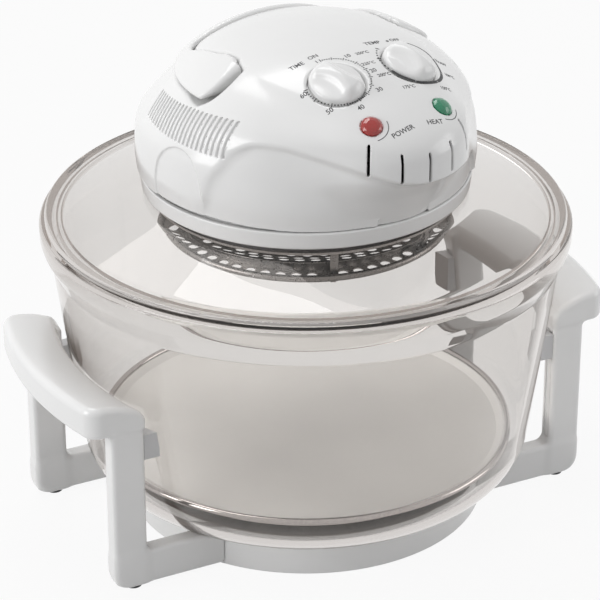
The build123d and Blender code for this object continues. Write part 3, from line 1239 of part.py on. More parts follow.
tab_end = movement_low - MOVEMENT_TAB
terminal_top = shield_top + TERMINAL_H
switch_low = SWITCH_TOP - SWITCH_H
wire_runs = (
    ((-8.0, TERMINAL_Y - 3.0, terminal_top), (-8.0, 60.0, 253.0), (-6.0, PLUNGER_Y, switch_low)),
    ((6.0, PLUNGER_Y, switch_low), (24.0, 53.0, 260.0), (43.0, 22.0, 262.0), (42.0, -25.0, 266.0),
     point_on(heat_plane, 6.0, 0, tab_end)),
    (point_on(timer_plane, -6.0, 0, tab_end), (-42.0, -25.0, 264.0), (-43.0, 22.0, 258.0),
     (-26.0, 52.0, 250.0), (-12.0, TERMINAL_Y - 3.0, terminal_top)),
)
with BuildPart() as wiring:
    for run in wire_runs:
        with BuildLine() as wire_path:
            Spline(*run)
        with BuildSketch(Plane(origin=wire_path.line @ 0, z_dir=wire_path.line % 0)):
            Circle(WIRE_LEAD_R)
        sweep(path=wire_path.line)
    add(terminal_block.part, mode=Mode.SUBTRACT)
    add(microswitch.part, mode=Mode.SUBTRACT)
wiring.part.label = "wiring"

# ---------------------------------------------------------------- export
for piece in (
    base_ring, right_handle_frame, left_handle_frame, frame_screws, rubber_feet, bowl_pads, glass_bowl,
    wire_rack, drip_tray, tray_rim,
):
    export_step(piece.part, "parts/" + piece.part.label + ".step")

# the lid and the head on it stand turned on the bowl
for piece in (
    lid_glass, glass_gasket, heat_reflector, clamp_screws, guard, guard_brackets, guard_bolts,
    lower_housing, housing_screws, upper_housing, cord_bush, handle_pins, carry_handle, switch_plunger,
    microswitch, timer_knob, thermostat_knob, timer_shaft, thermostat_shaft, timer_movement,
    thermostat_body, power_lens, heat_lens, power_neon, heat_neon, halogen_tube, lamp_holders,
    tube_clips, thermostat_probe, heat_shield, motor_bracket, bracket_screws, motor, motor_screws,
    motor_shaft, hot_air_fan, fan_nut, cooling_fan, terminal_block, thermal_cutout, wiring,
):
    placed = turned(piece.part, HEAD_TURN)
    placed.label = piece.part.label
    export_step(placed, "parts/" + placed.label + ".step")
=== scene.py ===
"""Looks of a halogen oven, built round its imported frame: glass, moulded shell, dials, metalwork and stage."""

import json
import logging
import math
from dataclasses import dataclass, field
from enum import Enum, StrEnum
from typing import Callable, Iterable, Sequence

import bmesh
import bpy
import numpy as np
from mathutils import Matrix, Vector


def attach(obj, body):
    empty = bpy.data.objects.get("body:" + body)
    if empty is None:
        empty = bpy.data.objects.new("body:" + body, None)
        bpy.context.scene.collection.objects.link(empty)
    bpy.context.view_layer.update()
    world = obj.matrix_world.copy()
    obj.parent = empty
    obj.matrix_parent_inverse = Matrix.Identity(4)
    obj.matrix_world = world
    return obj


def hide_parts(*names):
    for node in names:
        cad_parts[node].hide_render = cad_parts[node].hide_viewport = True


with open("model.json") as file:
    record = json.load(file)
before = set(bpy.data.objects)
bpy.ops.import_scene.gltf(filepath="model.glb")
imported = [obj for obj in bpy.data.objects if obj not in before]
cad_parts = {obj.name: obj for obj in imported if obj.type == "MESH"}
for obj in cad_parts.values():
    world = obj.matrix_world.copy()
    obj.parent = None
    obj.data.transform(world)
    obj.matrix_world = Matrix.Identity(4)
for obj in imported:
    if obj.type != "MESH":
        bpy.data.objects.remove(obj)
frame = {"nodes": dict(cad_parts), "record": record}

log = logging.getLogger("oven")
MM = 0.001
Colour = tuple[float, float, float]
Field = Callable[[np.ndarray, np.ndarray, np.ndarray], np.ndarray]


# ------------------------------------------------------------------ materials
class Graph:
    """A node tree, with short ways to add, join and reckon."""

    def __init__(self, tree: bpy.types.NodeTree) -> None:
        """Wraps a node tree."""
        self.tree = tree

    def node(self, kind: str, values: dict | None = None, **settings: object) -> bpy.types.Node:
        """Adds one node.

        Args:
            kind: The node's type name; a shader node's goes without its ShaderNode prefix.
            values: Input values by socket name.
            settings: The node's own properties.

        Returns:
            The new node.
        """
        whole = kind.startswith(("GeometryNode", "NodeGroup"))
        made = self.tree.nodes.new(kind if whole else "ShaderNode" + kind)
        for key, value in settings.items():
            setattr(made, key, value)
        for key, value in (values or {}).items():
            made.inputs[key].default_value = value
        return made

    def join(self, source: bpy.types.NodeSocket, target: bpy.types.NodeSocket) -> None:
        """Links two sockets."""
        self.tree.links.new(source, target)

    def maths(self, operation: str, *values: bpy.types.NodeSocket | float) -> bpy.types.NodeSocket:
        """Adds a maths node.

        Args:
            operation: What it does.
            values: Its operands, each a socket or a number.

        Returns:
            The result's socket.
        """
        made = self.node("Math", operation=operation)
        for target, value in zip(made.inputs, values):
            if isinstance(value, (int, float)):
                target.default_value = value
            else:
                self.join(value, target)
        return made.outputs[0]

    def mixed(self, share: bpy.types.NodeSocket, first: bpy.types.Node,
              second: bpy.types.Node) -> bpy.types.Node:
        """Mixes two shaders.

        Args:
            share: How much of the second shader shows.
            first: One shader.
            second: The other shader.

        Returns:
            The mix.
        """
        mix = self.node("MixShader")
        self.join(share, mix.inputs["Fac"])
        self.join(first.outputs[0], mix.inputs[1])
        self.join(second.outputs[0], mix.inputs[2])
        return mix

    def looked_at(self) -> bpy.types.NodeSocket:
        """One for the rays by which the camera, glass and mirrors see a surface, else nought.

        Returns:
            The value's socket.
        """
        path = self.node("LightPath")
        seen = self.maths("MAXIMUM", path.outputs["Is Camera Ray"], path.outputs["Is Transmission Ray"])
        return self.maths("MAXIMUM", seen, path.outputs["Is Glossy Ray"])


class Board(Graph):
    """A material's node tree."""

    def __init__(self, name: str) -> None:
        """Makes an empty node material.

        Args:
            name: The material's name.
        """
        self.material = bpy.data.materials.new(name)
        self.material.use_nodes = True
        super().__init__(self.material.node_tree)
        self.tree.nodes.clear()
        self.out = self.node("OutputMaterial")

    def surface(self, shader: bpy.types.Node) -> bpy.types.Material:
        """Sends a shader to the material's surface and returns the material."""
        self.join(shader.outputs[0], self.out.inputs["Surface"])
        return self.material

    def grain(self, scale: float, detail: float = 3.0,
              stretch: Sequence[float] = (1.0, 1.0, 1.0)) -> bpy.types.Node:
        """Adds noise in object coordinates.

        Args:
            scale: Noise cells to the metre.
            detail: Octaves of noise.
            stretch: Factors along X, Y and Z.

        Returns:
            The noise node.
        """
        place = self.node("TexCoord")
        mapping = self.node("Mapping", {"Scale": tuple(stretch)})
        noise = self.node("TexNoise", {"Scale": scale, "Detail": detail, "Roughness": 0.55})
        self.join(place.outputs["Object"], mapping.inputs["Vector"])
        self.join(mapping.outputs["Vector"], noise.inputs["Vector"])
        return noise

    def spread(self, source: bpy.types.Node, low: float, high: float) -> bpy.types.NodeSocket:
        """Maps a noise node's value from 0.3..0.7 to low..high.

        Args:
            source: The noise node.
            low: Value at the noise's low end.
            high: Value at the noise's high end.

        Returns:
            The mapped value's socket.
        """
        span = self.node("MapRange", {"From Min": 0.3, "From Max": 0.7, "To Min": low, "To Max": high})
        self.join(source.outputs[0], span.inputs["Value"])
        return span.outputs["Result"]

    def tinted(self, source: bpy.types.Node, dark: Colour, light: Colour) -> bpy.types.NodeSocket:
        """Maps a noise node's value to a colour between two.

        Args:
            source: The noise node.
            dark: Colour at the noise's low end.
            light: Colour at the noise's high end.

        Returns:
            The colour socket.
        """
        ramp = self.node("ValToRGB")
        ramp.color_ramp.elements[0].position = 0.35
        ramp.color_ramp.elements[1].position = 0.65
        ramp.color_ramp.elements[0].color = (*dark, 1.0)
        ramp.color_ramp.elements[1].color = (*light, 1.0)
        self.join(source.outputs[0], ramp.inputs["Fac"])
        return ramp.outputs["Color"]


def shade(colour: Colour, factor: float) -> Colour:
    """A colour made lighter or darker by a factor."""
    return tuple(min(1.0, channel * factor) for channel in colour)


@dataclass(frozen=True)
class Moulding:
    """Moulded plastic, rubber or enamel: a skin with slight mottle and a fine grain."""

    name: str
    colour: Colour
    roughness: float
    mottle: float = 0.012
    grain_scale: float = 900.0
    grain_depth: float = 0.00002
    coat: float = 0.0
    metallic: float = 0.0
    edge_radius: float = 0.0
    clear: float = 0.0

    def material(self) -> bpy.types.Material:
        """Builds the material.

        Returns:
            The material.
        """
        board = Board(self.name)
        skin = board.node("BsdfPrincipled", {"Metallic": self.metallic, "Coat Weight": self.coat,
                                             "Coat Roughness": 0.08, "IOR": 1.47,
                                             "Transmission Weight": self.clear})
        cloud = board.grain(14.0)
        dark = shade(self.colour, 1.0 - self.mottle)
        light = shade(self.colour, 1.0 + self.mottle)
        board.join(board.tinted(cloud, dark, light), skin.inputs["Base Color"])
        fine = board.grain(self.grain_scale, 4.0)
        board.join(board.spread(fine, self.roughness * 0.88, self.roughness * 1.12), skin.inputs["Roughness"])
        bump = board.node("Bump", {"Strength": 0.35, "Distance": self.grain_depth})
        board.join(fine.outputs[0], bump.inputs["Height"])
        if self.edge_radius:
            edge = board.node("Bevel", {"Radius": self.edge_radius})
            board.join(edge.outputs["Normal"], bump.inputs["Normal"])
        board.join(bump.outputs["Normal"], skin.inputs["Normal"])
        return board.surface(skin)


@dataclass(frozen=True)
class Metal:
    """Bare metal, brushed along one axis or polished."""

    name: str
    colour: Colour
    roughness: float
    stretch: tuple[float, float, float] = (1.0, 1.0, 1.0)
    grain_scale: float = 500.0
    scratch_depth: float = 0.00001

    def material(self) -> bpy.types.Material:
        """Builds the material.

        Returns:
            The material.
        """
        board = Board(self.name)
        skin = board.node("BsdfPrincipled", {"Metallic": 1.0})
        brush = board.grain(self.grain_scale, 5.0, self.stretch)
        tint = board.tinted(brush, shade(self.colour, 0.9), shade(self.colour, 1.06))
        board.join(tint, skin.inputs["Base Color"])
        board.join(board.spread(brush, self.roughness * 0.75, self.roughness * 1.3), skin.inputs["Roughness"])
        bump = board.node("Bump", {"Strength": 0.4, "Distance": self.scratch_depth})
        board.join(brush.outputs[0], bump.inputs["Height"])
        board.join(bump.outputs["Normal"], skin.inputs["Normal"])
        return board.surface(skin)


@dataclass(frozen=True)
class Glass:
    """Clear or tinted glass whose walls let lamps through to what is inside; rays caught in it show a painted
    shade.
    """

    name: str
    colour: Colour
    shadow: Colour
    # edge: painted shade, a fixed brown-grey tint that rays caught by reflections inside the glass, or gone
    # deep, take on, darkening mostly the rims
    edge: Colour = (0.72, 0.69, 0.67)
    roughness: float = 0.0
    ior: float = 1.47
    ripple: float = 0.00003
    deepest: float = 4.5
    mirrored: float = 0.5

    def material(self) -> bpy.types.Material:
        """Builds the material.

        Returns:
            The material.
        """
        board = Board(self.name)
        pane = board.node("BsdfPrincipled", {"Base Color": (*self.colour, 1.0), "Roughness": self.roughness,
                                             "Transmission Weight": 1.0, "IOR": self.ior})
        wave = board.grain(9.0, 1.0)
        bump = board.node("Bump", {"Strength": 0.3, "Distance": self.ripple})
        board.join(wave.outputs[0], bump.inputs["Height"])
        board.join(bump.outputs["Normal"], pane.inputs["Normal"])
        clear = board.node("BsdfTransparent", {"Color": (*self.shadow, 1.0)})
        path = board.node("LightPath")
        deep = board.maths("GREATER_THAN", path.outputs["Ray Depth"], self.deepest)
        trapped = board.maths("GREATER_THAN", path.outputs["Glossy Depth"], self.mirrored)
        spent = board.maths("MAXIMUM", deep, trapped)
        straight = board.maths("MAXIMUM", path.outputs["Is Shadow Ray"], spent)
        # Painted shade: caught or deep rays pass on with the fixed edge tint instead of the light they would
        # carry
        edge = board.node("BsdfTransparent", {"Color": (*self.edge, 1.0)})
        return board.surface(board.mixed(straight, pane, board.mixed(spent, clear, edge)))


class Finish(Enum):
    """The oven's finishes."""

    WHITE = Moulding("white_gloss", (0.80, 0.80, 0.795), 0.22, coat=0.2)
    WHITE_EDGE = Moulding("white_gloss_edged", (0.80, 0.80, 0.795), 0.22, coat=0.2, edge_radius=0.0008)
    RUBBER = Moulding("rubber", (0.10, 0.10, 0.105), 0.7, mottle=0.1, grain_depth=0.00008)
    DARK_PLASTIC = Moulding("dark_plastic", (0.045, 0.045, 0.05), 0.45, mottle=0.1)
    CERAMIC = Moulding("ceramic", (0.74, 0.70, 0.60), 0.6, mottle=0.05)
    ENAMEL = Moulding("tray_enamel", (0.72, 0.71, 0.69), 0.32, mottle=0.03, coat=0.2)
    MOTOR_PAINT = Moulding("motor_paint", (0.11, 0.115, 0.12), 0.4, mottle=0.08, metallic=0.3)
    SILICONE = Moulding("silicone", (0.58, 0.58, 0.585), 0.5, mottle=0.05)
    INK = Moulding("dial_ink", (0.035, 0.036, 0.038), 0.5, mottle=0.05)
    CHROME = Metal("chrome", (0.82, 0.82, 0.83), 0.09)
    GUARD = Metal("guard_steel", (0.34, 0.335, 0.33), 0.3)
    SHEET = Metal("sheet_steel", (0.60, 0.60, 0.60), 0.32, (1.0, 12.0, 1.0))
    FASTENER = Metal("zinc", (0.58, 0.58, 0.60), 0.3)
    ALUMINIUM = Metal("aluminium", (0.74, 0.74, 0.75), 0.28, (10.0, 1.0, 1.0))
    BOWL = Glass("bowl_glass", (0.83, 0.816, 0.803), (0.95, 0.945, 0.94), ior=1.4)
    LID = Glass("lid_glass", (0.885, 0.875, 0.865), (0.95, 0.945, 0.94), ior=1.4)
    QUARTZ = Glass("quartz", (0.93, 0.91, 0.86), (0.95, 0.94, 0.92))
    NEON = Glass("neon_glass", (0.95, 0.88, 0.80), (0.95, 0.92, 0.88))
    RED = Moulding("red_lens", (0.44, 0.018, 0.012), 0.16, mottle=0.12, coat=0.6, clear=0.3)
    GREEN = Moulding("green_lens", (0.008, 0.27, 0.13), 0.16, mottle=0.12, coat=0.6, clear=0.3)


class Slot(StrEnum):
    """The record's material slots."""

    WHITE_PLASTIC = "white_plastic"
    RUBBER = "rubber"
    BOWL_GLASS = "bowl_glass"
    LID_GLASS = "lid_glass"
    CHROME_WIRE = "chrome_wire"
    TRAY_ENAMEL = "tray_enamel"
    GUARD_STEEL = "guard_steel"
    SHEET_STEEL = "sheet_steel"
    FASTENER_STEEL = "fastener_steel"
    FAN_ALUMINIUM = "fan_aluminium"
    MOTOR_CASE = "motor_case"
    SILICONE = "silicone"
    QUARTZ = "quartz"
    CERAMIC = "ceramic"
    DARK_PLASTIC = "dark_plastic"
    RED_LENS = "red_lens"
    GREEN_LENS = "green_lens"
    NEON_GLASS = "neon_glass"
    WIRE_COVER = "wire_cover"


class Body(StrEnum):
    """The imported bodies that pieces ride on."""

    STAND = "stand"
    BOWL = "bowl"
    TRAY = "tray"
    LID = "lid"
    CARRY_HANDLE = "carry_handle_body"
    TIMER_KNOB = "timer_knob_body"
    THERMOSTAT_KNOB = "thermostat_knob_body"


SLOT_FINISH = {
    Slot.WHITE_PLASTIC: Finish.WHITE_EDGE,
    Slot.RUBBER: Finish.RUBBER,
    Slot.BOWL_GLASS: Finish.BOWL,
    Slot.LID_GLASS: Finish.LID,
    Slot.CHROME_WIRE: Finish.CHROME,
    Slot.TRAY_ENAMEL: Finish.ENAMEL,
    Slot.GUARD_STEEL: Finish.GUARD,
    Slot.SHEET_STEEL: Finish.SHEET,
    Slot.FASTENER_STEEL: Finish.FASTENER,
    Slot.FAN_ALUMINIUM: Finish.ALUMINIUM,
    Slot.MOTOR_CASE: Finish.MOTOR_PAINT,
    Slot.SILICONE: Finish.SILICONE,
    Slot.QUARTZ: Finish.QUARTZ,
    Slot.CERAMIC: Finish.CERAMIC,
    Slot.DARK_PLASTIC: Finish.DARK_PLASTIC,
    Slot.RED_LENS: Finish.RED,
    Slot.GREEN_LENS: Finish.GREEN,
    Slot.NEON_GLASS: Finish.NEON,
    Slot.WIRE_COVER: Finish.SILICONE,
}


class Finishes:
    """Hands out the finishes' materials, each built once."""

    def __init__(self) -> None:
        """Starts with no material built."""
        self.built: dict[Finish, bpy.types.Material] = {}

    def get(self, finish: Finish) -> bpy.types.Material:
        """The material of a finish, built on first use.

        Args:
            finish: The finish.

        Returns:
            Its material.
        """
        if finish not in self.built:
            self.built[finish] = finish.value.material()
        return self.built[finish]


# ------------------------------------------------------------ moulded shapes
def round_max(a: np.ndarray, b: np.ndarray, r: float) -> np.ndarray:
    """Common part of two fields, its outer edge rounded to radius r."""
    return np.minimum(np.maximum(a, b), -r) + np.hypot(np.maximum(a + r, 0.0), np.maximum(b + r, 0.0))


def round_min(a: np.ndarray, b: np.ndarray, r: float) -> np.ndarray:
    """Union of two fields, its inner corner filled to radius r."""
    return -round_max(-a, -b, r)


def blend_min(a: np.ndarray, b: np.ndarray, k: float) -> np.ndarray:
    """Union of two fields with a soft web k wide between them."""
    h = np.maximum(k - np.abs(a - b), 0.0) / k
    return np.minimum(a, b) - h * h * k * 0.25


def block(x: np.ndarray, y: np.ndarray, z: np.ndarray, low: Sequence[float], high: Sequence[float],
          r: float) -> np.ndarray:
    """Distance to a box with rounded edges.

    Args:
        x: X of the points.
        y: Y of the points.
        z: Z of the points.
        low: The box's lowest corner.
        high: The box's highest corner.
        r: Edge radius.

    Returns:
        The signed distances.
    """
    spans = []
    for value, start, end in zip((x, y, z), low, high):
        spans.append(np.abs(value - (start + end) / 2) - (end - start) / 2 + r)
    outside = np.sqrt(sum(np.maximum(span, 0.0) ** 2 for span in spans))
    return outside + np.minimum(np.maximum(np.maximum(spans[0], spans[1]), spans[2]), 0.0) - r


def smooth_path(points: Sequence[Sequence[float]], steps: int) -> np.ndarray:
    """Points along a Catmull-Rom curve through given points.

    Args:
        points: The points the curve passes through.
        steps: Pieces between one given point and the next.

    Returns:
        The points, one in each row.
    """
    given = np.asarray(points, float)
    padded = np.vstack([2 * given[0] - given[1], given, 2 * given[-1] - given[-2]])
    rows = []
    for place in range(len(given) - 1):
        a, b, c, d = padded[place:place + 4]
        for t in np.arange(steps) / steps:
            rows.append(0.5 * (2 * b + (c - a) * t + (2 * a - 5 * b + 4 * c - d) * t * t
                               + (3 * b - a - 3 * c + d) * t ** 3))
    rows.append(given[-1])
    return np.array(rows)


class Outline:
    """Signed distance to a closed outline in a plane, tabled on a fine grid."""

    def __init__(self, points: np.ndarray, margin: float = 12.0, step: float = 0.5) -> None:
        """Tables the distance.

        Args:
            points: The outline's corners, the last joined to the first.
            margin: How far the table reaches past the outline.
            step: Grid step.
        """
        self.step = step
        self.low = points.min(axis=0) - margin
        size = np.ceil((points.max(axis=0) + margin - self.low) / step).astype(int) + 1
        u = self.low[0] + step * np.arange(size[0])[:, None]
        v = self.low[1] + step * np.arange(size[1])[None, :]
        near = np.full(size, 1e9)
        inside = np.zeros(size, bool)
        for a, b in zip(points, np.roll(points, -1, axis=0)):
            run = b - a
            t = np.clip(((u - a[0]) * run[0] + (v - a[1]) * run[1]) / max(run @ run, 1e-12), 0.0, 1.0)
            near = np.minimum(near, np.hypot(u - a[0] - t * run[0], v - a[1] - t * run[1]))
            crosses = (a[1] > v) != (b[1] > v)
            if abs(run[1]) > 1e-9:
                inside ^= crosses & (u < a[0] + (v - a[1]) * run[0] / run[1])
        self.table = np.where(inside, -near, near)

    def distance(self, u: np.ndarray, v: np.ndarray) -> np.ndarray:
        """Signed distance at points, by the four nearest table entries.

        Args:
            u: The points' places along the outline's first axis.
            v: The points' places along its second axis.

        Returns:
            A distance for each point, below nought inside.
        """
        top = np.array(self.table.shape) - 1.001
        i = np.clip((u - self.low[0]) / self.step, 0.0, top[0])
        j = np.clip((v - self.low[1]) / self.step, 0.0, top[1])
        a, b = i.astype(int), j.astype(int)
        s, t = i - a, j - b
        table = self.table
        return ((1 - s) * ((1 - t) * table[a, b] + t * table[a, b + 1])
                + s * ((1 - t) * table[a + 1, b] + t * table[a + 1, b + 1]))


def slope_at(shape: Field, spots: np.ndarray, reach: float = 0.04) -> np.ndarray:
    """A field's gradient at points, one row each.

    Args:
        shape: The field.
        spots: The points, one row each.
        reach: How far on each side the field is read.

    Returns:
        The gradients, one row each.
    """
    rows = []
    for axis in range(3):
        shift = np.zeros(3)
        shift[axis] = reach
        ahead, behind = spots + shift, spots - shift
        rows.append((shape(*ahead.T) - shape(*behind.T)) / (2 * reach))
    return np.stack(rows, axis=1)


def settle(shape: Field, spots: np.ndarray, reach: float, rounds: int = 3) -> np.ndarray:
    """Moves points onto a field's surface.

    Args:
        shape: The field.
        spots: The points, one row each.
        reach: The most that a point may move in one round.
        rounds: Newton steps.

    Returns:
        The moved points.
    """
    for _ in range(rounds):
        slope = slope_at(shape, spots)
        step = slope * (shape(*spots.T) / np.maximum((slope ** 2).sum(axis=1), 0.05))[:, None]
        size = np.linalg.norm(step, axis=1, keepdims=True)
        spots = spots - step * np.minimum(1.0, reach / np.maximum(size, 1e-9))
    return spots


class Net:
    """A closed mesh of a field's surface, one point to a grid cell."""

    coarse = 4
    margin = 1.25
    stride = 0.6

    def __init__(self, shape: Field, low: Sequence[float], high: Sequence[float], cell: float) -> None:
        """Meshes the field.

        Args:
            shape: The field, negative inside.
            low: Lowest corner of the space to search.
            high: Highest corner.
            cell: Grid step.
        """
        self.shape = shape
        self.cell = cell
        self.low = np.asarray(low, float)
        blocks = np.ceil((np.asarray(high, float) - self.low) / (cell * self.coarse)).astype(int)
        self.size = blocks * self.coarse + 1
        values = self._values(blocks)
        inside = values < 0
        corners = [(i, j, k) for i in (0, 1) for j in (0, 1) for k in (0, 1)]
        count = sum(self._shift(inside, corner).astype(np.uint8) for corner in corners)
        cells = np.argwhere((count > 0) & (count < 8))
        self.index = np.full(self.size - 1, -1, np.int32)
        self.index[tuple(cells.T)] = np.arange(len(cells))
        self.points = settle(shape, self._starts(values, cells, corners), self.stride * cell)
        self.quads = np.vstack([self._faces(inside, axis) for axis in range(3)])

    def _shift(self, grid: np.ndarray, corner: Sequence[int]) -> np.ndarray:
        """The grid's values at one corner of every cell.

        Args:
            grid: Values at the grid points.
            corner: The corner's steps along the three axes, each 0 or 1.

        Returns:
            A value for each cell.
        """
        i, j, k = corner
        nx, ny, nz = self.size - 1
        return grid[i:i + nx, j:j + ny, k:k + nz]

    def _values(self, blocks: np.ndarray) -> np.ndarray:
        """The field on the fine grid, worked out only near the surface.

        Args:
            blocks: Coarse blocks along each axis.

        Returns:
            The values on the grid.
        """
        step = self.cell * self.coarse
        axes = [self.low[a] + step * np.arange(blocks[a] + 1) for a in range(3)]
        x, y, z = np.meshgrid(*axes, indexing="ij")
        rough = self.shape(x.ravel(), y.ravel(), z.ravel()).reshape(x.shape)
        near = np.full(blocks, 1e9)
        for i in (0, 1):
            for j in (0, 1):
                for k in (0, 1):
                    part = rough[i:i + blocks[0], j:j + blocks[1], k:k + blocks[2]]
                    near = np.minimum(near, np.abs(part))
        wanted = np.zeros(self.size, bool)
        for i, j, k in np.argwhere(near < step * self.margin) * self.coarse:
            wanted[i:i + self.coarse + 1, j:j + self.coarse + 1, k:k + self.coarse + 1] = True
        side = np.repeat(np.repeat(np.repeat(rough, self.coarse, 0), self.coarse, 1), self.coarse, 2)
        values = side[:self.size[0], :self.size[1], :self.size[2]].copy()
        spots = np.argwhere(wanted)
        found = self.low + spots * self.cell
        values[wanted] = self.shape(*found.T)
        return values

    def _starts(self, values: np.ndarray, cells: np.ndarray, corners: list) -> np.ndarray:
        """First places of the points: the mean of each cell's edge crossings.

        Args:
            values: The field on the grid.
            cells: Indices of the cells that the surface crosses.
            corners: The eight corner offsets.

        Returns:
            The points, one row each.
        """
        at = np.stack([values[tuple((cells + corner).T)] for corner in corners], axis=1)
        total = np.zeros((len(cells), 3))
        crossed = np.zeros(len(cells))
        for a, first in enumerate(corners):
            for b in range(a + 1, 8):
                if sum(abs(p - q) for p, q in zip(first, corners[b])) != 1:
                    continue
                differ = (at[:, a] < 0) != (at[:, b] < 0)
                t = np.where(differ, at[:, a] / np.where(differ, at[:, a] - at[:, b], 1.0), 0.0)
                spot = np.asarray(first, float) + t[:, None] * (np.asarray(corners[b]) - first)
                total += spot * differ[:, None]
                crossed += differ
        return self.low + (cells + total / crossed[:, None]) * self.cell

    def _faces(self, inside: np.ndarray, axis: int) -> np.ndarray:
        """Quads across the grid edges that run along one axis.

        Args:
            inside: Which grid points lie inside.
            axis: The number of the axis.

        Returns:
            The quads as rows of four point numbers.
        """
        order = [axis, (axis + 1) % 3, (axis + 2) % 3]
        grid = inside.transpose(order)
        index = self.index.transpose(order)
        change = grid[:-1, 1:-1, 1:-1] != grid[1:, 1:-1, 1:-1]
        i, j, k = np.argwhere(change).T
        ring = np.stack([index[i, j, k], index[i, j + 1, k],
                         index[i, j + 1, k + 1], index[i, j, k + 1]], axis=1)
        flip = ~grid[i, j + 1, k + 1]
        ring[flip] = ring[flip][:, ::-1]
        return ring


def mesh_of(name: str, points: np.ndarray, faces: np.ndarray) -> bpy.types.Mesh:
    """A mesh from points in millimetres and faces of one size, smooth shaded.

    Args:
        name: The mesh's name.
        points: The points, one row each.
        faces: Point numbers, one face to a row.

    Returns:
        The mesh, in metres.
    """
    mesh = bpy.data.meshes.new(name)
    mesh.vertices.add(len(points))
    mesh.vertices.foreach_set("co", (points * MM).astype(np.float32).ravel())
    corners = faces.shape[1]
    mesh.loops.add(faces.size)
    mesh.loops.foreach_set("vertex_index", faces.astype(np.int32).ravel())
    mesh.polygons.add(len(faces))
    mesh.polygons.foreach_set("loop_start", np.arange(0, faces.size, corners, dtype=np.int32))
    mesh.update(calc_edges=True)
    mesh.validate()
    mesh.polygons.foreach_set("use_smooth", np.ones(len(mesh.polygons), bool))
    return mesh


def spots_of(mesh: bpy.types.Mesh) -> np.ndarray:
    """A mesh's points in millimetres.

    Args:
        mesh: The mesh.

    Returns:
        The points, one row each.
    """
    flat = np.empty(len(mesh.vertices) * 3, np.float32)
    mesh.vertices.foreach_get("co", flat)
    return flat.reshape(-1, 3).astype(float) / MM


def put_spots(mesh: bpy.types.Mesh, spots: np.ndarray) -> None:
    """Gives a mesh's points new places, in millimetres."""
    mesh.vertices.foreach_set("co", (spots * MM).astype(np.float32).ravel())
    mesh.update()


def baked(holder: bpy.types.Object) -> bpy.types.Mesh:
    """Applies an object's modifiers and takes the object away.

    Args:
        holder: The object, linked into the scene.

    Returns:
        What it showed, as a plain mesh.
    """
    graph = bpy.context.evaluated_depsgraph_get()
    mesh = bpy.data.meshes.new_from_object(holder.evaluated_get(graph))
    bpy.data.objects.remove(holder)
    return mesh


def held(name: str, data: bpy.types.ID) -> bpy.types.Object:
    """Links a new object of some data into the scene.

    Args:
        name: The object's name.
        data: Its data.

    Returns:
        The new object.
    """
    holder = bpy.data.objects.new(name, data)
    bpy.context.collection.objects.link(holder)
    return holder


def grown(tree: bpy.types.NodeTree, values: dict[str, float | int | bool]) -> bpy.types.Mesh:
    """Runs a Geometry Nodes tree once.

    Args:
        tree: The tree.
        values: Its inputs by name.

    Returns:
        The geometry as a plain mesh.
    """
    holder = held(tree.name, bpy.data.meshes.new(tree.name))
    modifier = holder.modifiers.new(tree.name, "NODES")
    modifier.node_group = tree
    for item in tree.interface.items_tree:
        if item.in_out == "INPUT" and item.name in values:
            modifier[item.identifier] = values[item.name]
    return baked(holder)


def node_group(name: str, inputs: dict[str, str]) -> tuple[Graph, bpy.types.bpy_prop_collection]:
    """Starts a Geometry Nodes tree.

    Args:
        name: The tree's name.
        inputs: The kind of each input, by the input's name.

    Returns:
        The tree's graph and the sockets of its inputs.
    """
    tree = bpy.data.node_groups.new(name, "GeometryNodeTree")
    for label, kind in {"Geometry": "Geometry", **inputs}.items():
        tree.interface.new_socket(label, in_out="INPUT", socket_type="NodeSocket" + kind)
    tree.interface.new_socket("Geometry", in_out="OUTPUT", socket_type="NodeSocketGeometry")
    graph = Graph(tree)
    return graph, graph.node("NodeGroupInput").outputs


def finish_group(graph: Graph, shown: bpy.types.NodeSocket, finish: bpy.types.Material) -> bpy.types.NodeTree:
    """Ends a Geometry Nodes tree with its material and its output.

    Args:
        graph: The tree's graph.
        shown: The geometry that it gives.
        finish: The geometry's material.

    Returns:
        The tree.
    """
    coat = graph.node("GeometryNodeSetMaterial", {"Material": finish})
    graph.join(shown, coat.inputs["Geometry"])
    graph.join(coat.outputs[0], graph.node("NodeGroupOutput").inputs[0])
    return graph.tree


def turn_matrix(angle: float, axis: str = "Z") -> np.ndarray:
    """A turn about an axis through the origin, as three rows, from degrees."""
    return np.array(Matrix.Rotation(math.radians(angle), 3, axis))


@dataclass
class Mould:
    """A smooth moulded piece, meshed from its field and placed by a turn and a shift."""

    name: str
    shape: Field
    low: tuple[float, float, float]
    high: tuple[float, float, float]
    cell: float
    most: int = 190000
    face: Field | None = None

    def mesh(self, turn: np.ndarray | None = None, shift: Sequence[float] = (0.0, 0.0, 0.0),
             mirror: bool = False) -> bpy.types.Mesh:
        """Meshes the piece.

        Args:
            turn: Rows of its own X, Y and Z axes in the object's frame, as a matrix of columns.
            shift: Where its origin goes, in millimetres.
            mirror: Whether X is mirrored first.

        Returns:
            The mesh, at its place, with the field's own normals.
        """
        net = Net(self.shape, self.low, self.high, self.cell)
        mesh = mesh_of(self.name, net.points, net.quads)
        if 2 * len(net.quads) > self.most:
            holder = held("thinned", mesh)
            holder.modifiers.new("thin", "DECIMATE").ratio = self.most / (2.0 * len(net.quads))
            dense, mesh = mesh, baked(holder)
            bpy.data.meshes.remove(dense)
            mesh.name = self.name
        spots = settle(self.shape, spots_of(mesh), 0.25 * self.cell, 2)
        normals = slope_at(self.face or self.shape, spots, 0.1)
        if mirror:
            spots[:, 0] *= -1
            normals[:, 0] *= -1
        if turn is not None:
            spots, normals = spots @ turn.T, normals @ turn.T
        put_spots(mesh, spots + np.asarray(shift))
        if mirror:
            mesh.flip_normals()
        normals /= np.maximum(np.linalg.norm(normals, axis=1, keepdims=True), 1e-9)
        mesh.normals_split_custom_set_from_vertices(normals.tolist())
        return mesh


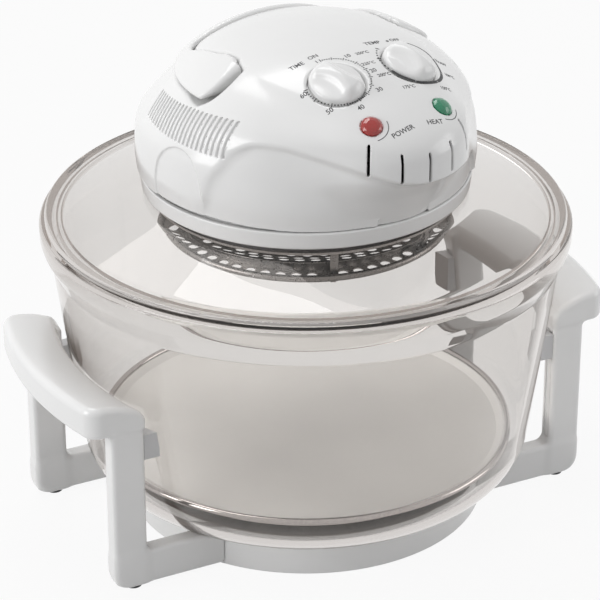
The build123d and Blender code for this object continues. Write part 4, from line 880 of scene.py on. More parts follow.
# -------------------------------------------------------------- head housing
@dataclass
class DomeShape:
    """The head's dome as a field: at each height the hull of a rear and a nose circle."""

    levels: tuple[tuple[float, ...], ...] = (
        (232.0, 105.0, 0.0, 59.0, -68.0), (245.0, 106.0, 0.0, 59.0, -68.0),
        (262.0, 104.5, 0.0, 59.0, -68.0), (272.0, 100.5, -3.0, 58.0, -69.0),
        (281.0, 96.0, -7.5, 56.0, -70.0), (290.0, 89.3, -9.5, 60.5, -58.5),
        (300.0, 79.5, -8.5, 57.0, -47.0), (310.0, 64.5, -8.0, 60.0, -23.0),
        (316.0, 50.0, -8.0, 49.0, -17.5), (320.0, 33.0, -8.0, 33.0, -13.0),
        (322.75, 0.0, -8.0, 0.0, -9.5))
    crown: float = 322.75
    capped: bool = True

    def __post_init__(self) -> None:
        """Tables the circles against height, on a scale that opens out towards the crown."""
        rows = np.array(self.levels)
        self.keys = self._scale(rows[:, 0])
        path = smooth_path(np.column_stack([self.keys, rows[:, 1:]])[::-1], 24)
        order = np.argsort(path[:, 0])
        self.table = path[order]

    def _scale(self, z: np.ndarray) -> np.ndarray:
        """Height as the signed root of the distance under the crown, or plain height.

        Args:
            z: The points' heights.

        Returns:
            The scaled heights.
        """
        if not self.capped:
            return -z
        under = self.crown - z
        return np.sign(under) * np.sqrt(np.abs(under))

    def across(self, x: np.ndarray, y: np.ndarray, z: np.ndarray) -> np.ndarray:
        """Signed distance to the outline at each point's own height.

        Args:
            x: The points' places across, in millimetres.
            y: The points' places from front to back.
            z: The points' heights.

        Returns:
            A distance for each point, below nought inside.
        """
        key = self._scale(z)
        rear, rear_y, nose, nose_y = (
            np.interp(key, self.table[:, 0], self.table[:, column]) for column in (1, 2, 3, 4))
        if self.capped:
            over = np.minimum(key, 0.0) * 18.5
            rear, nose = rear + over, nose + over
        run = np.maximum(rear_y - nose_y, 1.0)
        lean = np.clip((rear - nose) / run, -0.95, 0.95)
        side = np.sqrt(1.0 - lean * lean)
        u, v = np.abs(x), rear_y - y
        along = v * side - u * lean
        rear_gap = np.hypot(u, v) - rear
        nose_gap = np.hypot(u, v - run) - nose
        flank = u * side + v * lean - rear
        return np.where(along < 0, rear_gap, np.where(along > side * run, nose_gap, flank))

    def field(self, x: np.ndarray, y: np.ndarray, z: np.ndarray) -> np.ndarray:
        """Signed distance to the dome, near its surface.

        Args:
            x: The points' places across, in millimetres.
            y: The points' places from front to back.
            z: The points' heights.

        Returns:
            A value for each point, below nought inside.
        """
        gap = self.across(x, y, z)
        rate = (self.across(x, y, z + 0.25) - self.across(x, y, z - 0.25)) / 0.5
        return gap / np.sqrt(1.0 + rate * rate)


SCALLOP_LEVELS = (
    (220.0, 102.4, 0.0, 59.0, -40.0), (231.0, 102.4, 0.0, 59.0, -44.0), (248.0, 103.4, 0.0, 58.0, -53.0),
    (264.0, 101.6, 0.0, 56.0, -65.0), (276.0, 96.2, -4.5, 53.0, -69.0), (288.0, 88.2, -9.0, 57.0, -60.0),
    (300.0, 78.0, -9.0, 55.0, -48.0))


@dataclass
class TiltedFace:
    """A flat place on the control panel, with its own X, Y and outward axes."""

    x: float
    y: float
    z: float
    tilt: float
    lean: float

    def axes(self) -> np.ndarray:
        """The place's axes as the columns of a matrix.

        Returns:
            The matrix.
        """
        side = 1.0 if self.x > 0 else -1.0
        tilt, lean = math.radians(self.tilt), math.radians(self.lean)
        out = np.array((side * math.sin(lean), -math.sin(tilt) * math.cos(lean),
                        math.cos(tilt) * math.cos(lean)))
        right = np.array((math.cos(lean), 0.0, -side * math.sin(lean)))
        right -= out * (right @ out)
        right /= np.linalg.norm(right)
        return np.column_stack([right, np.cross(out, right), out])

    def local(self, x: np.ndarray, y: np.ndarray, z: np.ndarray) -> tuple[np.ndarray, ...]:
        """Points in the place's own coordinates.

        Args:
            x: The points' places across, in millimetres.
            y: The points' places from front to back.
            z: The points' heights.

        Returns:
            The places right, up and out of the face.
        """
        axes = self.axes()
        dx, dy, dz = x - self.x, y - self.y, z - self.z
        return tuple(dx * axes[0, c] + dy * axes[1, c] + dz * axes[2, c] for c in range(3))


TIMER_FACE = TiltedFace(-26.6, -69.4, 312.7, 19.0, 9.8)
HEAT_FACE = TiltedFace(26.6, -69.4, 312.7, 19.0, 9.8)
POWER_LAMP_FACE = TiltedFace(-25.8, -103.2, 296.8, 31.8, 14.5)
HEAT_LAMP_FACE = TiltedFace(25.8, -103.2, 296.8, 31.8, 14.5)


@dataclass
class HandleSpace:
    """The room round the deck that the carry handle lies in."""

    half: float = 57.6
    back: float = 46.0
    corner: float = 14.0
    pivot_y: float = -7.0
    pivot_z: float = 306.5
    ledge: float = 295.0
    slope: float = 0.02
    web: float = 9.0
    drum_r: float = 11.4

    def deck(self, x: np.ndarray, y: np.ndarray, grow: float = 0.0) -> np.ndarray:
        """Signed distance to the deck's plan, widened by a gap.

        Args:
            x: The points' places across, in millimetres.
            y: The points' places from front to back.
            grow: The gap.

        Returns:
            A value for each point, below nought inside.
        """
        u = np.abs(x) - (self.half - self.corner)
        v = y - (self.back - self.corner)
        outside = np.hypot(np.maximum(u, 0.0), np.maximum(v, 0.0)) + np.minimum(np.maximum(u, v), 0.0)
        return outside - self.corner - grow

    def wedge(self, x: np.ndarray, y: np.ndarray, z: np.ndarray, gap: float) -> np.ndarray:
        """The space over the sloping ledge, behind the pivot and outside the deck."""
        over = (self.ledge + gap - self.slope * (y - self.pivot_y) - z) / math.hypot(1.0, self.slope)
        return np.maximum(np.maximum(over, self.pivot_y - y), -self.deck(x, y, gap))

    def drum(self, x: np.ndarray, y: np.ndarray, z: np.ndarray, radius: float, gap: float) -> np.ndarray:
        """A round bar on the pivot axis, outside the deck."""
        return np.maximum(np.hypot(y - self.pivot_y, z - self.pivot_z) - radius, self.half + gap - np.abs(x))

    def room(self, x: np.ndarray, y: np.ndarray, z: np.ndarray) -> np.ndarray:
        """The whole space cut from the dome.

        Args:
            x: The points' places across, in millimetres.
            y: The points' places from front to back.
            z: The points' heights.

        Returns:
            A value for each point, below nought inside.
        """
        above = np.maximum(np.abs(y - self.pivot_y) - self.drum_r, self.pivot_z - z)
        front = np.hypot(y - self.pivot_y + 1.6, z - self.pivot_z + 1.2) - 12.4
        flank = np.maximum(np.minimum(above, front), self.half - np.abs(x))
        pocket = np.minimum(self.drum(x, y, z, self.drum_r, 0.0), flank)
        return blend_min(self.wedge(x, y, z, 0.0), pocket, self.web)


@dataclass
class HeadHousing:
    """The upper shell of the head: dome, visor over a scalloped front, louvres, slots and dial recesses."""

    wall: float = 2.2
    low: float = 229.9
    visor_lip: float = 2.6
    scallop_fill: float = 5.0
    panel_depth: float = 1.2
    louvres: int = 22
    louvre_first: float = -45.0
    louvre_pitch: float = 3.75
    louvre_half: float = 0.95
    louvre_depth: float = 1.5
    louvre_low: float = 271.5
    louvre_high: float = 292.5
    groove: float = 2.3
    recess_r: float = 17.4
    recess_depth: float = 4.2
    recess_lip: float = 2.4
    lens_r: float = 6.7
    slot_half: float = 0.85
    slot_pitch: float = 17.2
    slot_low: tuple[float, ...] = (270.4, 265.2, 263.4, 265.2, 270.4)
    slot_high: tuple[float, ...] = (289.3, 283.6, 281.6, 283.6, 289.3)
    visor_edge: tuple[tuple[float, float], ...] = (
        (-100.5, 226.0), (-99.6, 242.0), (-97.0, 257.5), (-90.8, 270.5), (-84.5, 278.6), (-77.5, 282.6),
        (-66.0, 282.4), (-54.3, 278.8), (-43.0, 274.6), (-31.3, 270.2), (-16.8, 264.6), (0.0, 262.0),
        (17.0, 261.4), (34.0, 261.0), (50.0, 258.0), (64.0, 250.0), (74.0, 238.0), (79.0, 226.0))
    flank_edge: tuple[tuple[float, float], ...] = (
        (8.0, 226.0), (7.5, 245.0), (4.0, 258.0), (-4.0, 266.5), (-14.0, 269.0), (-24.0, 266.0),
        (-31.0, 257.0), (-34.0, 245.0), (-35.0, 226.0))
    dome: DomeShape = field(default_factory=DomeShape)
    scallop: DomeShape = field(default_factory=lambda: DomeShape(SCALLOP_LEVELS, capped=False))
    space: HandleSpace = field(default_factory=HandleSpace)
    shaft_hole_r: float = 3.6
    lens_seat: float = 0.8
    lamp_hole_r: float = 4.7
    lamp_depth: float = 16.0
    bush_y: float = 80.0
    bush_z: float = 248.0
    bush_r: float = 7.0
    plunger_y: float = 60.0
    plunger_z: float = 280.0
    plunger_r: float = 2.25

    def __post_init__(self) -> None:
        """Tables the visor's and the flank panel's outlines."""
        visor = smooth_path(self.visor_edge, 8)
        self.visor = Outline(np.vstack([visor, [(79.0, 200.0), (-100.5, 200.0)]]))
        flank = smooth_path(self.flank_edge, 8)
        self.flank = Outline(np.vstack([flank, [(-35.0, 200.0), (8.0, 200.0)]]))

    def skin(self, x: np.ndarray, y: np.ndarray, z: np.ndarray) -> np.ndarray:
        """The dome's outside, before anything is let into it.

        Args:
            x: The points' places across, in millimetres.
            y: The points' places from front to back.
            z: The points' heights.

        Returns:
            A value for each point, below nought inside.
        """
        dome = self.dome.field(x, y, z)
        edge = np.maximum(self.visor.distance(x, z), y + 20.0)
        kept = round_min(-edge, self.scallop.field(x, y, z), self.scallop_fill)
        body = round_max(dome, kept, self.visor_lip)
        panel = np.maximum(self.flank.distance(y, z), 60.0 - np.abs(x))
        body = round_max(body, round_min(-panel, dome + self.panel_depth, 1.0), 1.0)
        return round_max(body, -self.space.room(x, y, z), 2.2)

    def cuts(self, x: np.ndarray, y: np.ndarray, z: np.ndarray) -> np.ndarray:
        """The visor's slots, which go right through the wall.

        Args:
            x: The points' places across, in millimetres.
            y: The points' places from front to back.
            z: The points' heights.

        Returns:
            A value for each point, below nought inside.
        """
        opening = np.full(x.shape, 40.0)
        for place, (low, high) in enumerate(zip(self.slot_low, self.slot_high)):
            turn = math.asin((place - 2) * self.slot_pitch / 57.0)
            across = np.abs(x * math.cos(turn) + (y + 67.0) * math.sin(turn))
            out = x * math.sin(turn) - (y + 67.0) * math.cos(turn)
            tall = np.abs(z - (low + high) / 2) - (high - low) / 2
            slot = round_max(across - self.slot_half, tall, 1.0)
            opening = np.minimum(opening, np.maximum(slot, 20.0 - out))
        return opening

    def louvre(self, x: np.ndarray, y: np.ndarray, z: np.ndarray) -> np.ndarray:
        """The louvres' outlines, without their depth.

        Args:
            x: The points' places across, in millimetres.
            y: The points' places from front to back.
            z: The points' heights.

        Returns:
            A value for each point, below nought inside.
        """
        number = np.clip(np.round((y - self.louvre_first) / self.louvre_pitch), 0, self.louvres - 1)
        across = np.abs(y - self.louvre_first - number * self.louvre_pitch) - self.louvre_half
        top = self.louvre_high - 6.5 * (number / (self.louvres - 1)) ** 1.5
        tall = np.abs(z - (self.louvre_low + top) / 2) - (top - self.louvre_low) / 2
        return np.maximum(round_max(across, tall, 0.9), 60.0 - np.abs(x))

    def shell(self, x: np.ndarray, y: np.ndarray, z: np.ndarray) -> np.ndarray:
        """The whole shell, its wall and every opening.

        Args:
            x: The points' places across, in millimetres.
            y: The points' places from front to back.
            z: The points' heights.

        Returns:
            A value for each point, below nought inside.
        """
        skin = self.skin(x, y, z)
        inner = skin + self.wall
        skin = round_max(skin, -np.maximum(self.louvre(x, y, z), -skin - self.louvre_depth), 0.7)
        for face in (TIMER_FACE, HEAT_FACE):
            u, v, w = face.local(x, y, z)
            out = np.hypot(u, v)
            skin = round_max(skin, -np.maximum(out - self.recess_r, -self.recess_depth - w), self.recess_lip)
            inner = np.maximum(inner, -np.maximum(out - self.recess_r - 2.0, -self.recess_depth - 2.2 - w))
            skin = np.maximum(skin, -(out - self.shaft_hole_r))
        for face in (POWER_LAMP_FACE, HEAT_LAMP_FACE):
            u, v, w = face.local(x, y, z)
            out = np.hypot(u, v)
            seat = np.minimum(np.maximum(out - self.lens_r, -self.lens_seat - w), out - self.lamp_hole_r)
            skin = round_max(skin, -np.maximum(seat, -self.lamp_depth - w), 0.35)
        skin = round_max(skin, -self.cuts(x, y, z), 0.45)
        bush = np.maximum(np.hypot(x, z - self.bush_z) - self.bush_r, self.bush_y - y)
        plunger = np.maximum(np.hypot(x, y - self.plunger_y) - self.plunger_r, self.plunger_z - z)
        skin = np.maximum(skin, -np.minimum(bush, plunger))
        front = np.clip((-20.0 - y) / 75.0, 0.0, 1.0)
        base = self.low + self.groove * (1.0 - front * front * (3.0 - 2.0 * front)) - z
        return round_max(np.maximum(skin, base), -np.minimum(inner, 40.0), 0.3)

    def region(self, x: np.ndarray, y: np.ndarray, z: np.ndarray, grow: float) -> np.ndarray:
        """The box round each flank's louvres."""
        spans = (60.0 - np.abs(x), -53.0 - y, y - 42.0, 266.0 - z, z - 297.0)
        return np.maximum.reduce(spans) - grow

    def plain_part(self, x: np.ndarray, y: np.ndarray, z: np.ndarray) -> np.ndarray:
        """The shell without its louvred panels."""
        return np.maximum(self.shell(x, y, z), -self.region(x, y, z, -1.2))

    def louvred_part(self, x: np.ndarray, y: np.ndarray, z: np.ndarray) -> np.ndarray:
        """The louvred panels, their borders lying just under the rest of the shell."""
        sunk = 0.05 * np.clip(self.region(x, y, z, -1.2) / 0.3, 0.0, 1.0)
        return np.maximum(self.shell(x, y, z) + sunk, self.region(x, y, z, 0.0))

    def moulds(self) -> list[Mould]:
        """The housing's moulds: the shell, and a finely meshed panel of louvres on each flank.

        Returns:
            The moulds in the order they are made.
        """
        low, high = (60.0, -54.0, 265.0), (109.0, 43.0, 298.0)
        left_low, left_high = (-high[0], low[1], low[2]), (-low[0], high[1], high[2])
        return [Mould("head_shell", self.plain_part, (-109.0, -130.0, 227.0), (109.0, 109.0, 325.5),
                      0.85, 190000, self.shell),
                Mould("right_louvres", self.louvred_part, low, high, 0.5, 190000, self.shell),
                Mould("left_louvres", self.louvred_part, left_low, left_high, 0.5, 190000, self.shell)]


@dataclass
class CarryHandle:
    """The swing-up carry handle: a band round the back of the deck with two round-ended arms."""

    proud: float = 2.2
    gap: float = 1.0
    arm_r: float = 10.6
    edge: float = 3.0
    pin_r: float = 3.05
    dome: DomeShape = field(default_factory=DomeShape)
    space: HandleSpace = field(default_factory=HandleSpace)

    def shape(self, x: np.ndarray, y: np.ndarray, z: np.ndarray) -> np.ndarray:
        """The handle's field.

        Args:
            x: The points' places across, in millimetres.
            y: The points' places from front to back.
            z: The points' heights.

        Returns:
            A value for each point, below nought inside.
        """
        reach = blend_min(self.space.wedge(x, y, z, self.gap), self.space.drum(x, y, z, self.arm_r, self.gap),
                          self.space.web)
        reach = np.maximum(reach, self.space.pivot_z - self.arm_r - z)
        body = round_max(self.dome.field(x, y, z) - self.proud, reach, self.edge)
        pin = np.hypot(y - self.space.pivot_y, z - self.space.pivot_z) - self.pin_r
        return np.maximum(body, -np.maximum(pin, np.abs(x) - 65.3))

    def mould(self) -> Mould:
        """The handle's mould."""
        return Mould("carry_handle_band", self.shape, (-90.0, -22.0, 284.0), (90.0, 88.0, 320.0), 0.8)


@dataclass
class Knob:
    """A dial knob: a low round skirt and a broad flared wing across it."""

    radius: float = 15.6
    under: float = -3.9
    skirt: float = 1.2
    crest: float = 9.5
    turn: float = 16.0

    def shape(self, x: np.ndarray, y: np.ndarray, z: np.ndarray) -> np.ndarray:
        """The knob's field, in its own coordinates.

        Args:
            x: The places across the knob, in millimetres.
            y: The places up its face.
            z: The heights above its seat.

        Returns:
            A value for each point, below nought inside.
        """
        out = np.hypot(x, y)
        top = self.skirt + 1.6 * (1.0 - (out / self.radius) ** 2)
        disc = round_max(round_max(out - self.radius, (z - top) * 0.98, 1.3), self.under - z, 0.6)
        turn = math.radians(self.turn)
        u = x * math.cos(turn) + y * math.sin(turn)
        v = y * math.cos(turn) - x * math.sin(turn)
        half = 3.4 + 2.6 * (np.abs(v) / 14.0) ** 2 + 0.34 * (self.crest - z)
        height = self.crest - 3.2 * (v / 14.0) ** 2
        wing = round_max((np.abs(u) - half) * 0.9, (z - height) * 0.95, 3.2)
        wing = round_max(wing, out - self.radius + 0.5, 3.0)
        body = blend_min(disc, np.maximum(wing, self.under - z), 6.0)
        bore = np.maximum(round_max(out - 3.05, 2.0 - 2 * 3.05 - y, 0.01), z - 5.2)
        return np.maximum(np.maximum(body, self.under - z), -bore)

    def mould(self, name: str) -> Mould:
        """The knob's mould."""
        return Mould(name, self.shape, (-17.0, -17.0, -5.0), (17.0, 17.0, 11.0), 0.45)


@dataclass
class HandleFrame:
    """One side of the stand: a curved hand grip on two posts and their foot bars."""

    grip_low: float = 111.0
    grip_top: float = 131.5
    in_x: float = 155.5
    in_arc: float = 213.0
    out_x: float = 190.0
    out_arc: float = 247.0
    half: float = 71.4
    drop: float = 9.0
    run: float = 13.0
    post_in: float = 144.0
    post_out: float = 166.0
    post_front: float = 71.0
    post_t: float = 14.0
    foot: float = 0.8
    bar_top: float = 25.0
    ring_r: float = 115.3
    groove_half: float = 2.5
    groove_depth: float = 1.2
    groove_low: float = 29.0
    groove_high: float = 108.0
    bowl_r: float = 111.4
    bowl_z: float = 55.8
    bowl_bend: float = 34.5
    clear: float = 9.0

    def shape(self, x: np.ndarray, y: np.ndarray, z: np.ndarray) -> np.ndarray:
        """The right frame's field; the left one is its mirror image.

        Args:
            x: The points' places across, in millimetres.
            y: The points' places from front to back.
            z: The points' heights.

        Returns:
            A value for each point, below nought inside.
        """
        w = np.abs(y)
        outer = np.hypot(x - self.out_x + self.out_arc, y) - self.out_arc
        inward = np.hypot(x - self.in_x + self.in_arc, y) - self.in_arc
        plan = round_max(round_max(outer, w - self.half, 8.0), round_max(-inward, w - self.half, 3.0), 0.1)
        tilt = self.drop / self.run
        sloped = (z - self.grip_top + self.drop - inward * tilt) / math.hypot(1.0, tilt)
        top = round_max(z - self.grip_top, sloped, 9.0)
        grip = round_max(round_max(plan, top, 5.0), self.grip_low - z, 3.2)
        mid = self.post_front - self.post_t / 2
        post = block(x, w, z, (self.post_in, mid - self.post_t / 2, self.foot),
                     (self.post_out, self.post_front, self.grip_low + 9.0), 3.4)
        bar = block(x, w, z, (80.0, mid - self.post_t / 2, self.foot),
                    (self.post_out - 2.0, self.post_front, self.bar_top), 3.4)
        leg = round_max(round_min(post, bar, 5.0), np.abs(w - mid) - self.post_t / 2, 3.4)
        leg = round_max(leg, self.foot - z, 3.4)
        leg = round_max(leg, (x - self.post_out + 5.0 - z + self.foot) * 0.7071, 5.0)
        groove = np.maximum(np.abs(w - mid) - self.groove_half, x - self.post_in - self.groove_depth)
        groove = np.maximum(np.maximum(groove, self.groove_low - z), z - self.groove_high)
        leg = np.maximum(leg, -groove)
        leg = round_max(leg, self.ring_r - np.hypot(x, y), 0.4)
        reach = np.hypot(x, y)
        corner = np.hypot(reach - self.bowl_r, z - self.bowl_z) - self.bowl_bend
        under = (reach > self.bowl_r) & (z < self.bowl_z)
        leg = np.maximum(leg, -np.where(under, corner, self.clear))
        body = blend_min(grip, leg, 4.0)
        tongue = block(x, w, z, (72.0, mid - 4.5, 7.0), (117.0, mid + 4.5, 13.0), 0.3)
        tongue = np.maximum(tongue, -(np.hypot(x - 78.0, w - mid) - 1.7))
        return np.minimum(body, tongue)

    def mould(self, name: str) -> Mould:
        """The frame's mould, for the right side."""
        return Mould(name, self.shape, (70.0, -74.0, -1.0), (192.5, 74.0, 134.0), 1.0)


# -------------------------------------------------------------- turned pieces
@dataclass
class Turning:
    """A piece turned about the upright axis, from corners given as (radius, height, corner radius)."""

    name: str
    corners: tuple[tuple[float, float, float], ...]
    segments: int = 256
    arc_steps: int = 10

    def outline(self) -> np.ndarray:
        """The closed outline with its corners rounded, as rows of radius and height.

        Returns:
            The rows.
        """
        spots = np.array([corner[:2] for corner in self.corners])
        rows = []
        for place, (r, z, radius) in enumerate(self.corners):
            here = np.array((r, z))
            before, after = spots[place - 1] - here, spots[(place + 1) % len(spots)] - here
            a, b = np.linalg.norm(before), np.linalg.norm(after)
            cosine = np.clip(before @ after / (a * b), -1.0, 1.0)
            half = math.acos(cosine) / 2
            if radius <= 0 or half > 1.56:
                rows.append(here)
                continue
            reach = min(radius / math.tan(half), 0.49 * a, 0.49 * b)
            true_r = reach * math.tan(half)
            toward = before / a + after / b
            middle = here + toward / np.linalg.norm(toward) * true_r / math.sin(half)
            start, end = here + before / a * reach - middle, here + after / b * reach - middle
            turn = math.atan2(start[0] * end[1] - start[1] * end[0], start @ end)
            for step in range(self.arc_steps + 1):
                angle = turn * step / self.arc_steps
                rows.append(middle + (start[0] * math.cos(angle) - start[1] * math.sin(angle),
                                      start[0] * math.sin(angle) + start[1] * math.cos(angle)))
        return np.array(rows)

    def mesh(self) -> bpy.types.Mesh:
        """Turns the outline into a closed mesh.

        Returns:
            The mesh.
        """
        shape = bmesh.new()
        rings = []
        for r, z in self.outline():
            if r < 1e-6:
                rings.append([shape.verts.new((0.0, 0.0, z * MM))])
                continue
            ring = []
            for number in range(self.segments):
                angle = 2 * math.pi * number / self.segments
                ring.append(shape.verts.new((r * MM * math.cos(angle), r * MM * math.sin(angle), z * MM)))
            rings.append(ring)
        for first, second in zip(rings, rings[1:] + rings[:1]):
            for number in range(self.segments):
                after = (number + 1) % self.segments
                if len(first) == 1 and len(second) == 1:
                    break
                if len(first) == 1:
                    shape.faces.new((first[0], second[number], second[after]))
                elif len(second) == 1:
                    shape.faces.new((first[number], second[0], first[after]))
                else:
                    shape.faces.new((first[number], second[number], second[after], first[after]))
        bmesh.ops.recalc_face_normals(shape, faces=shape.faces)
        mesh = bpy.data.meshes.new(self.name)
        shape.to_mesh(mesh)
        shape.free()
        mesh.polygons.foreach_set("use_smooth", np.ones(len(mesh.polygons), bool))
        mesh.set_sharp_from_angle(angle=math.radians(35.0))
        return mesh


def turn_mesh(mesh: bpy.types.Mesh, angle: float) -> bpy.types.Mesh:
    """Turns a mesh about the upright axis by an angle in degrees."""
    mesh.transform(Matrix.Rotation(math.radians(angle), 4, "Z"))
    return mesh


def joined(name: str, meshes: Sequence[bpy.types.Mesh]) -> bpy.types.Mesh:
    """One mesh holding several.

    Args:
        name: The new mesh's name.
        meshes: The meshes to put in it.

    Returns:
        The new mesh.
    """
    shape = bmesh.new()
    for mesh in meshes:
        shape.from_mesh(mesh)
    whole = bpy.data.meshes.new(name)
    shape.to_mesh(whole)
    shape.free()
    return whole


def rod_outline(reach: float, height: float, radius: float,
                sides: int = 16) -> tuple[tuple[float, float, float], ...]:
    """The outline of a round rod bent into a ring.

    Args:
        reach: The ring's radius, to the rod's middle.
        height: The height of the rod's middle.
        radius: The rod's radius.
        sides: How many corners the rod's section has.

    Returns:
        The corners for a Turning.
    """
    angles = [2 * math.pi * number / sides for number in range(sides)]
    return tuple((reach + radius * math.cos(angle), height + radius * math.sin(angle), 0.0)
                 for angle in angles)


@dataclass
class Fitter:
    """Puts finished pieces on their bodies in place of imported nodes."""

    finishes: Finishes

    def put(self, mesh: bpy.types.Mesh, finish: Finish, body: Body,
            nodes: Sequence[str] = ()) -> bpy.types.Object:
        """Adds a piece.

        Args:
            mesh: Its mesh, in metres and at its place.
            finish: Its finish.
            body: The body it rides on.
            nodes: The nodes it stands for.

        Returns:
            The piece.
        """
        piece = held(mesh.name, mesh)
        mesh.materials.clear()
        mesh.materials.append(self.finishes.get(finish))
        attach(piece, body)
        if nodes:
            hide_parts(*nodes)
        log.info("%s: %d faces on %s", piece.name, len(mesh.polygons), body)
        return piece


# ------------------------------------------------------------------- glassware
@dataclass
class Glassware:
    """The glass bowl and the glass lid."""

    seat: float = 21.8
    floor: float = 5.0
    wall: float = 4.6
    slope: float = 0.13
    radius_70: float = 147.0
    corner: float = 34.0
    neck: float = 172.0
    rim_r: float = 167.0
    rim_in_r: float = 158.5
    rim_low: float = 188.0
    rim_top: float = 196.0
    lid_t: float = 4.0

    def radius(self, z: float) -> float:
        """The bowl's outside radius at a height."""
        return self.radius_70 + self.slope * (z - 70.0)

    def bowl(self) -> bpy.types.Mesh:
        """The bowl: a rounded base, a flared wall and a thick rim.

        Returns:
            The mesh.
        """
        low_r, neck_r = self.radius(self.seat), self.radius(self.neck)
        floor_z = self.seat + self.floor
        return Turning("oven_bowl", (
            (0.0, self.seat, 0.0), (low_r, self.seat, self.corner), (neck_r, self.neck, 9.0),
            (self.rim_r - 1.0, self.neck + 12.0, 4.0), (self.rim_r, self.rim_low, 0.0),
            (self.rim_r, self.rim_top, 2.6), (self.rim_in_r, self.rim_top, 2.0),
            (self.rim_in_r + 0.5, self.rim_low - 1.0, 0.0), (neck_r - self.wall, self.neck, 11.0),
            (low_r - self.wall + self.slope * self.floor, floor_z, self.corner - self.wall),
            (0.0, floor_z, 0.0))).mesh()

    def lid(self) -> bpy.types.Mesh:
        """The lid: a shallow dome with a hole for the head and a locating step inside the rim.

        Returns:
            The mesh.
        """
        flat, edge, low = 218.0, 201.0, self.rim_top + 0.2
        return Turning("oven_lid", (
            (86.0, flat - self.lid_t, 0.0), (104.0, flat - self.lid_t, 30.0),
            (150.0, edge - self.lid_t - 0.4, 0.0), (156.0 - self.lid_t, low, 0.0),
            (156.0 - self.lid_t, 191.0, 1.5), (156.0, 191.0, 1.5), (156.0, low, 0.0), (163.5, low, 1.2),
            (163.5, edge, 2.0), (152.0, edge, 12.0), (104.0, flat, 26.0), (86.0, flat, 0.0))).mesh()

    def build(self, fitter: Fitter) -> None:
        """Makes and fits both."""
        fitter.put(self.bowl(), Finish.BOWL, Body.BOWL, ["glass_bowl"])
        fitter.put(self.lid(), Finish.LID, Body.LID, ["lid_glass"])


@dataclass
class DripTray:
    """The enamelled tray on the rack and its bright rolled rim."""

    radius: float = 131.0
    low: float = 46.4
    thick: float = 1.2
    depth: float = 4.0
    rim_r: float = 1.9

    def build(self, fitter: Fitter) -> None:
        """Makes and fits the tray and its rim.

        Args:
            fitter: Takes the finished pieces.
        """
        top = self.low + self.depth
        pan = Turning("tray_pan", (
            (0.0, self.low, 0.0), (self.radius - 5.0, self.low, 2.5), (self.radius - 1.0, top, 0.4),
            (self.radius - 1.0 - self.thick, top, 0.4),
            (self.radius - 5.6 - self.thick, self.low + self.thick, 1.6),
            (0.0, self.low + self.thick, 0.0))).mesh()
        fitter.put(pan, Finish.ENAMEL, Body.TRAY, ["drip_tray"])
        wire = rod_outline(self.radius + 0.9, top, self.rim_r)
        edge = Turning("tray_edge", wire).mesh()
        fitter.put(edge, Finish.CHROME, Body.TRAY, ["tray_rim"])


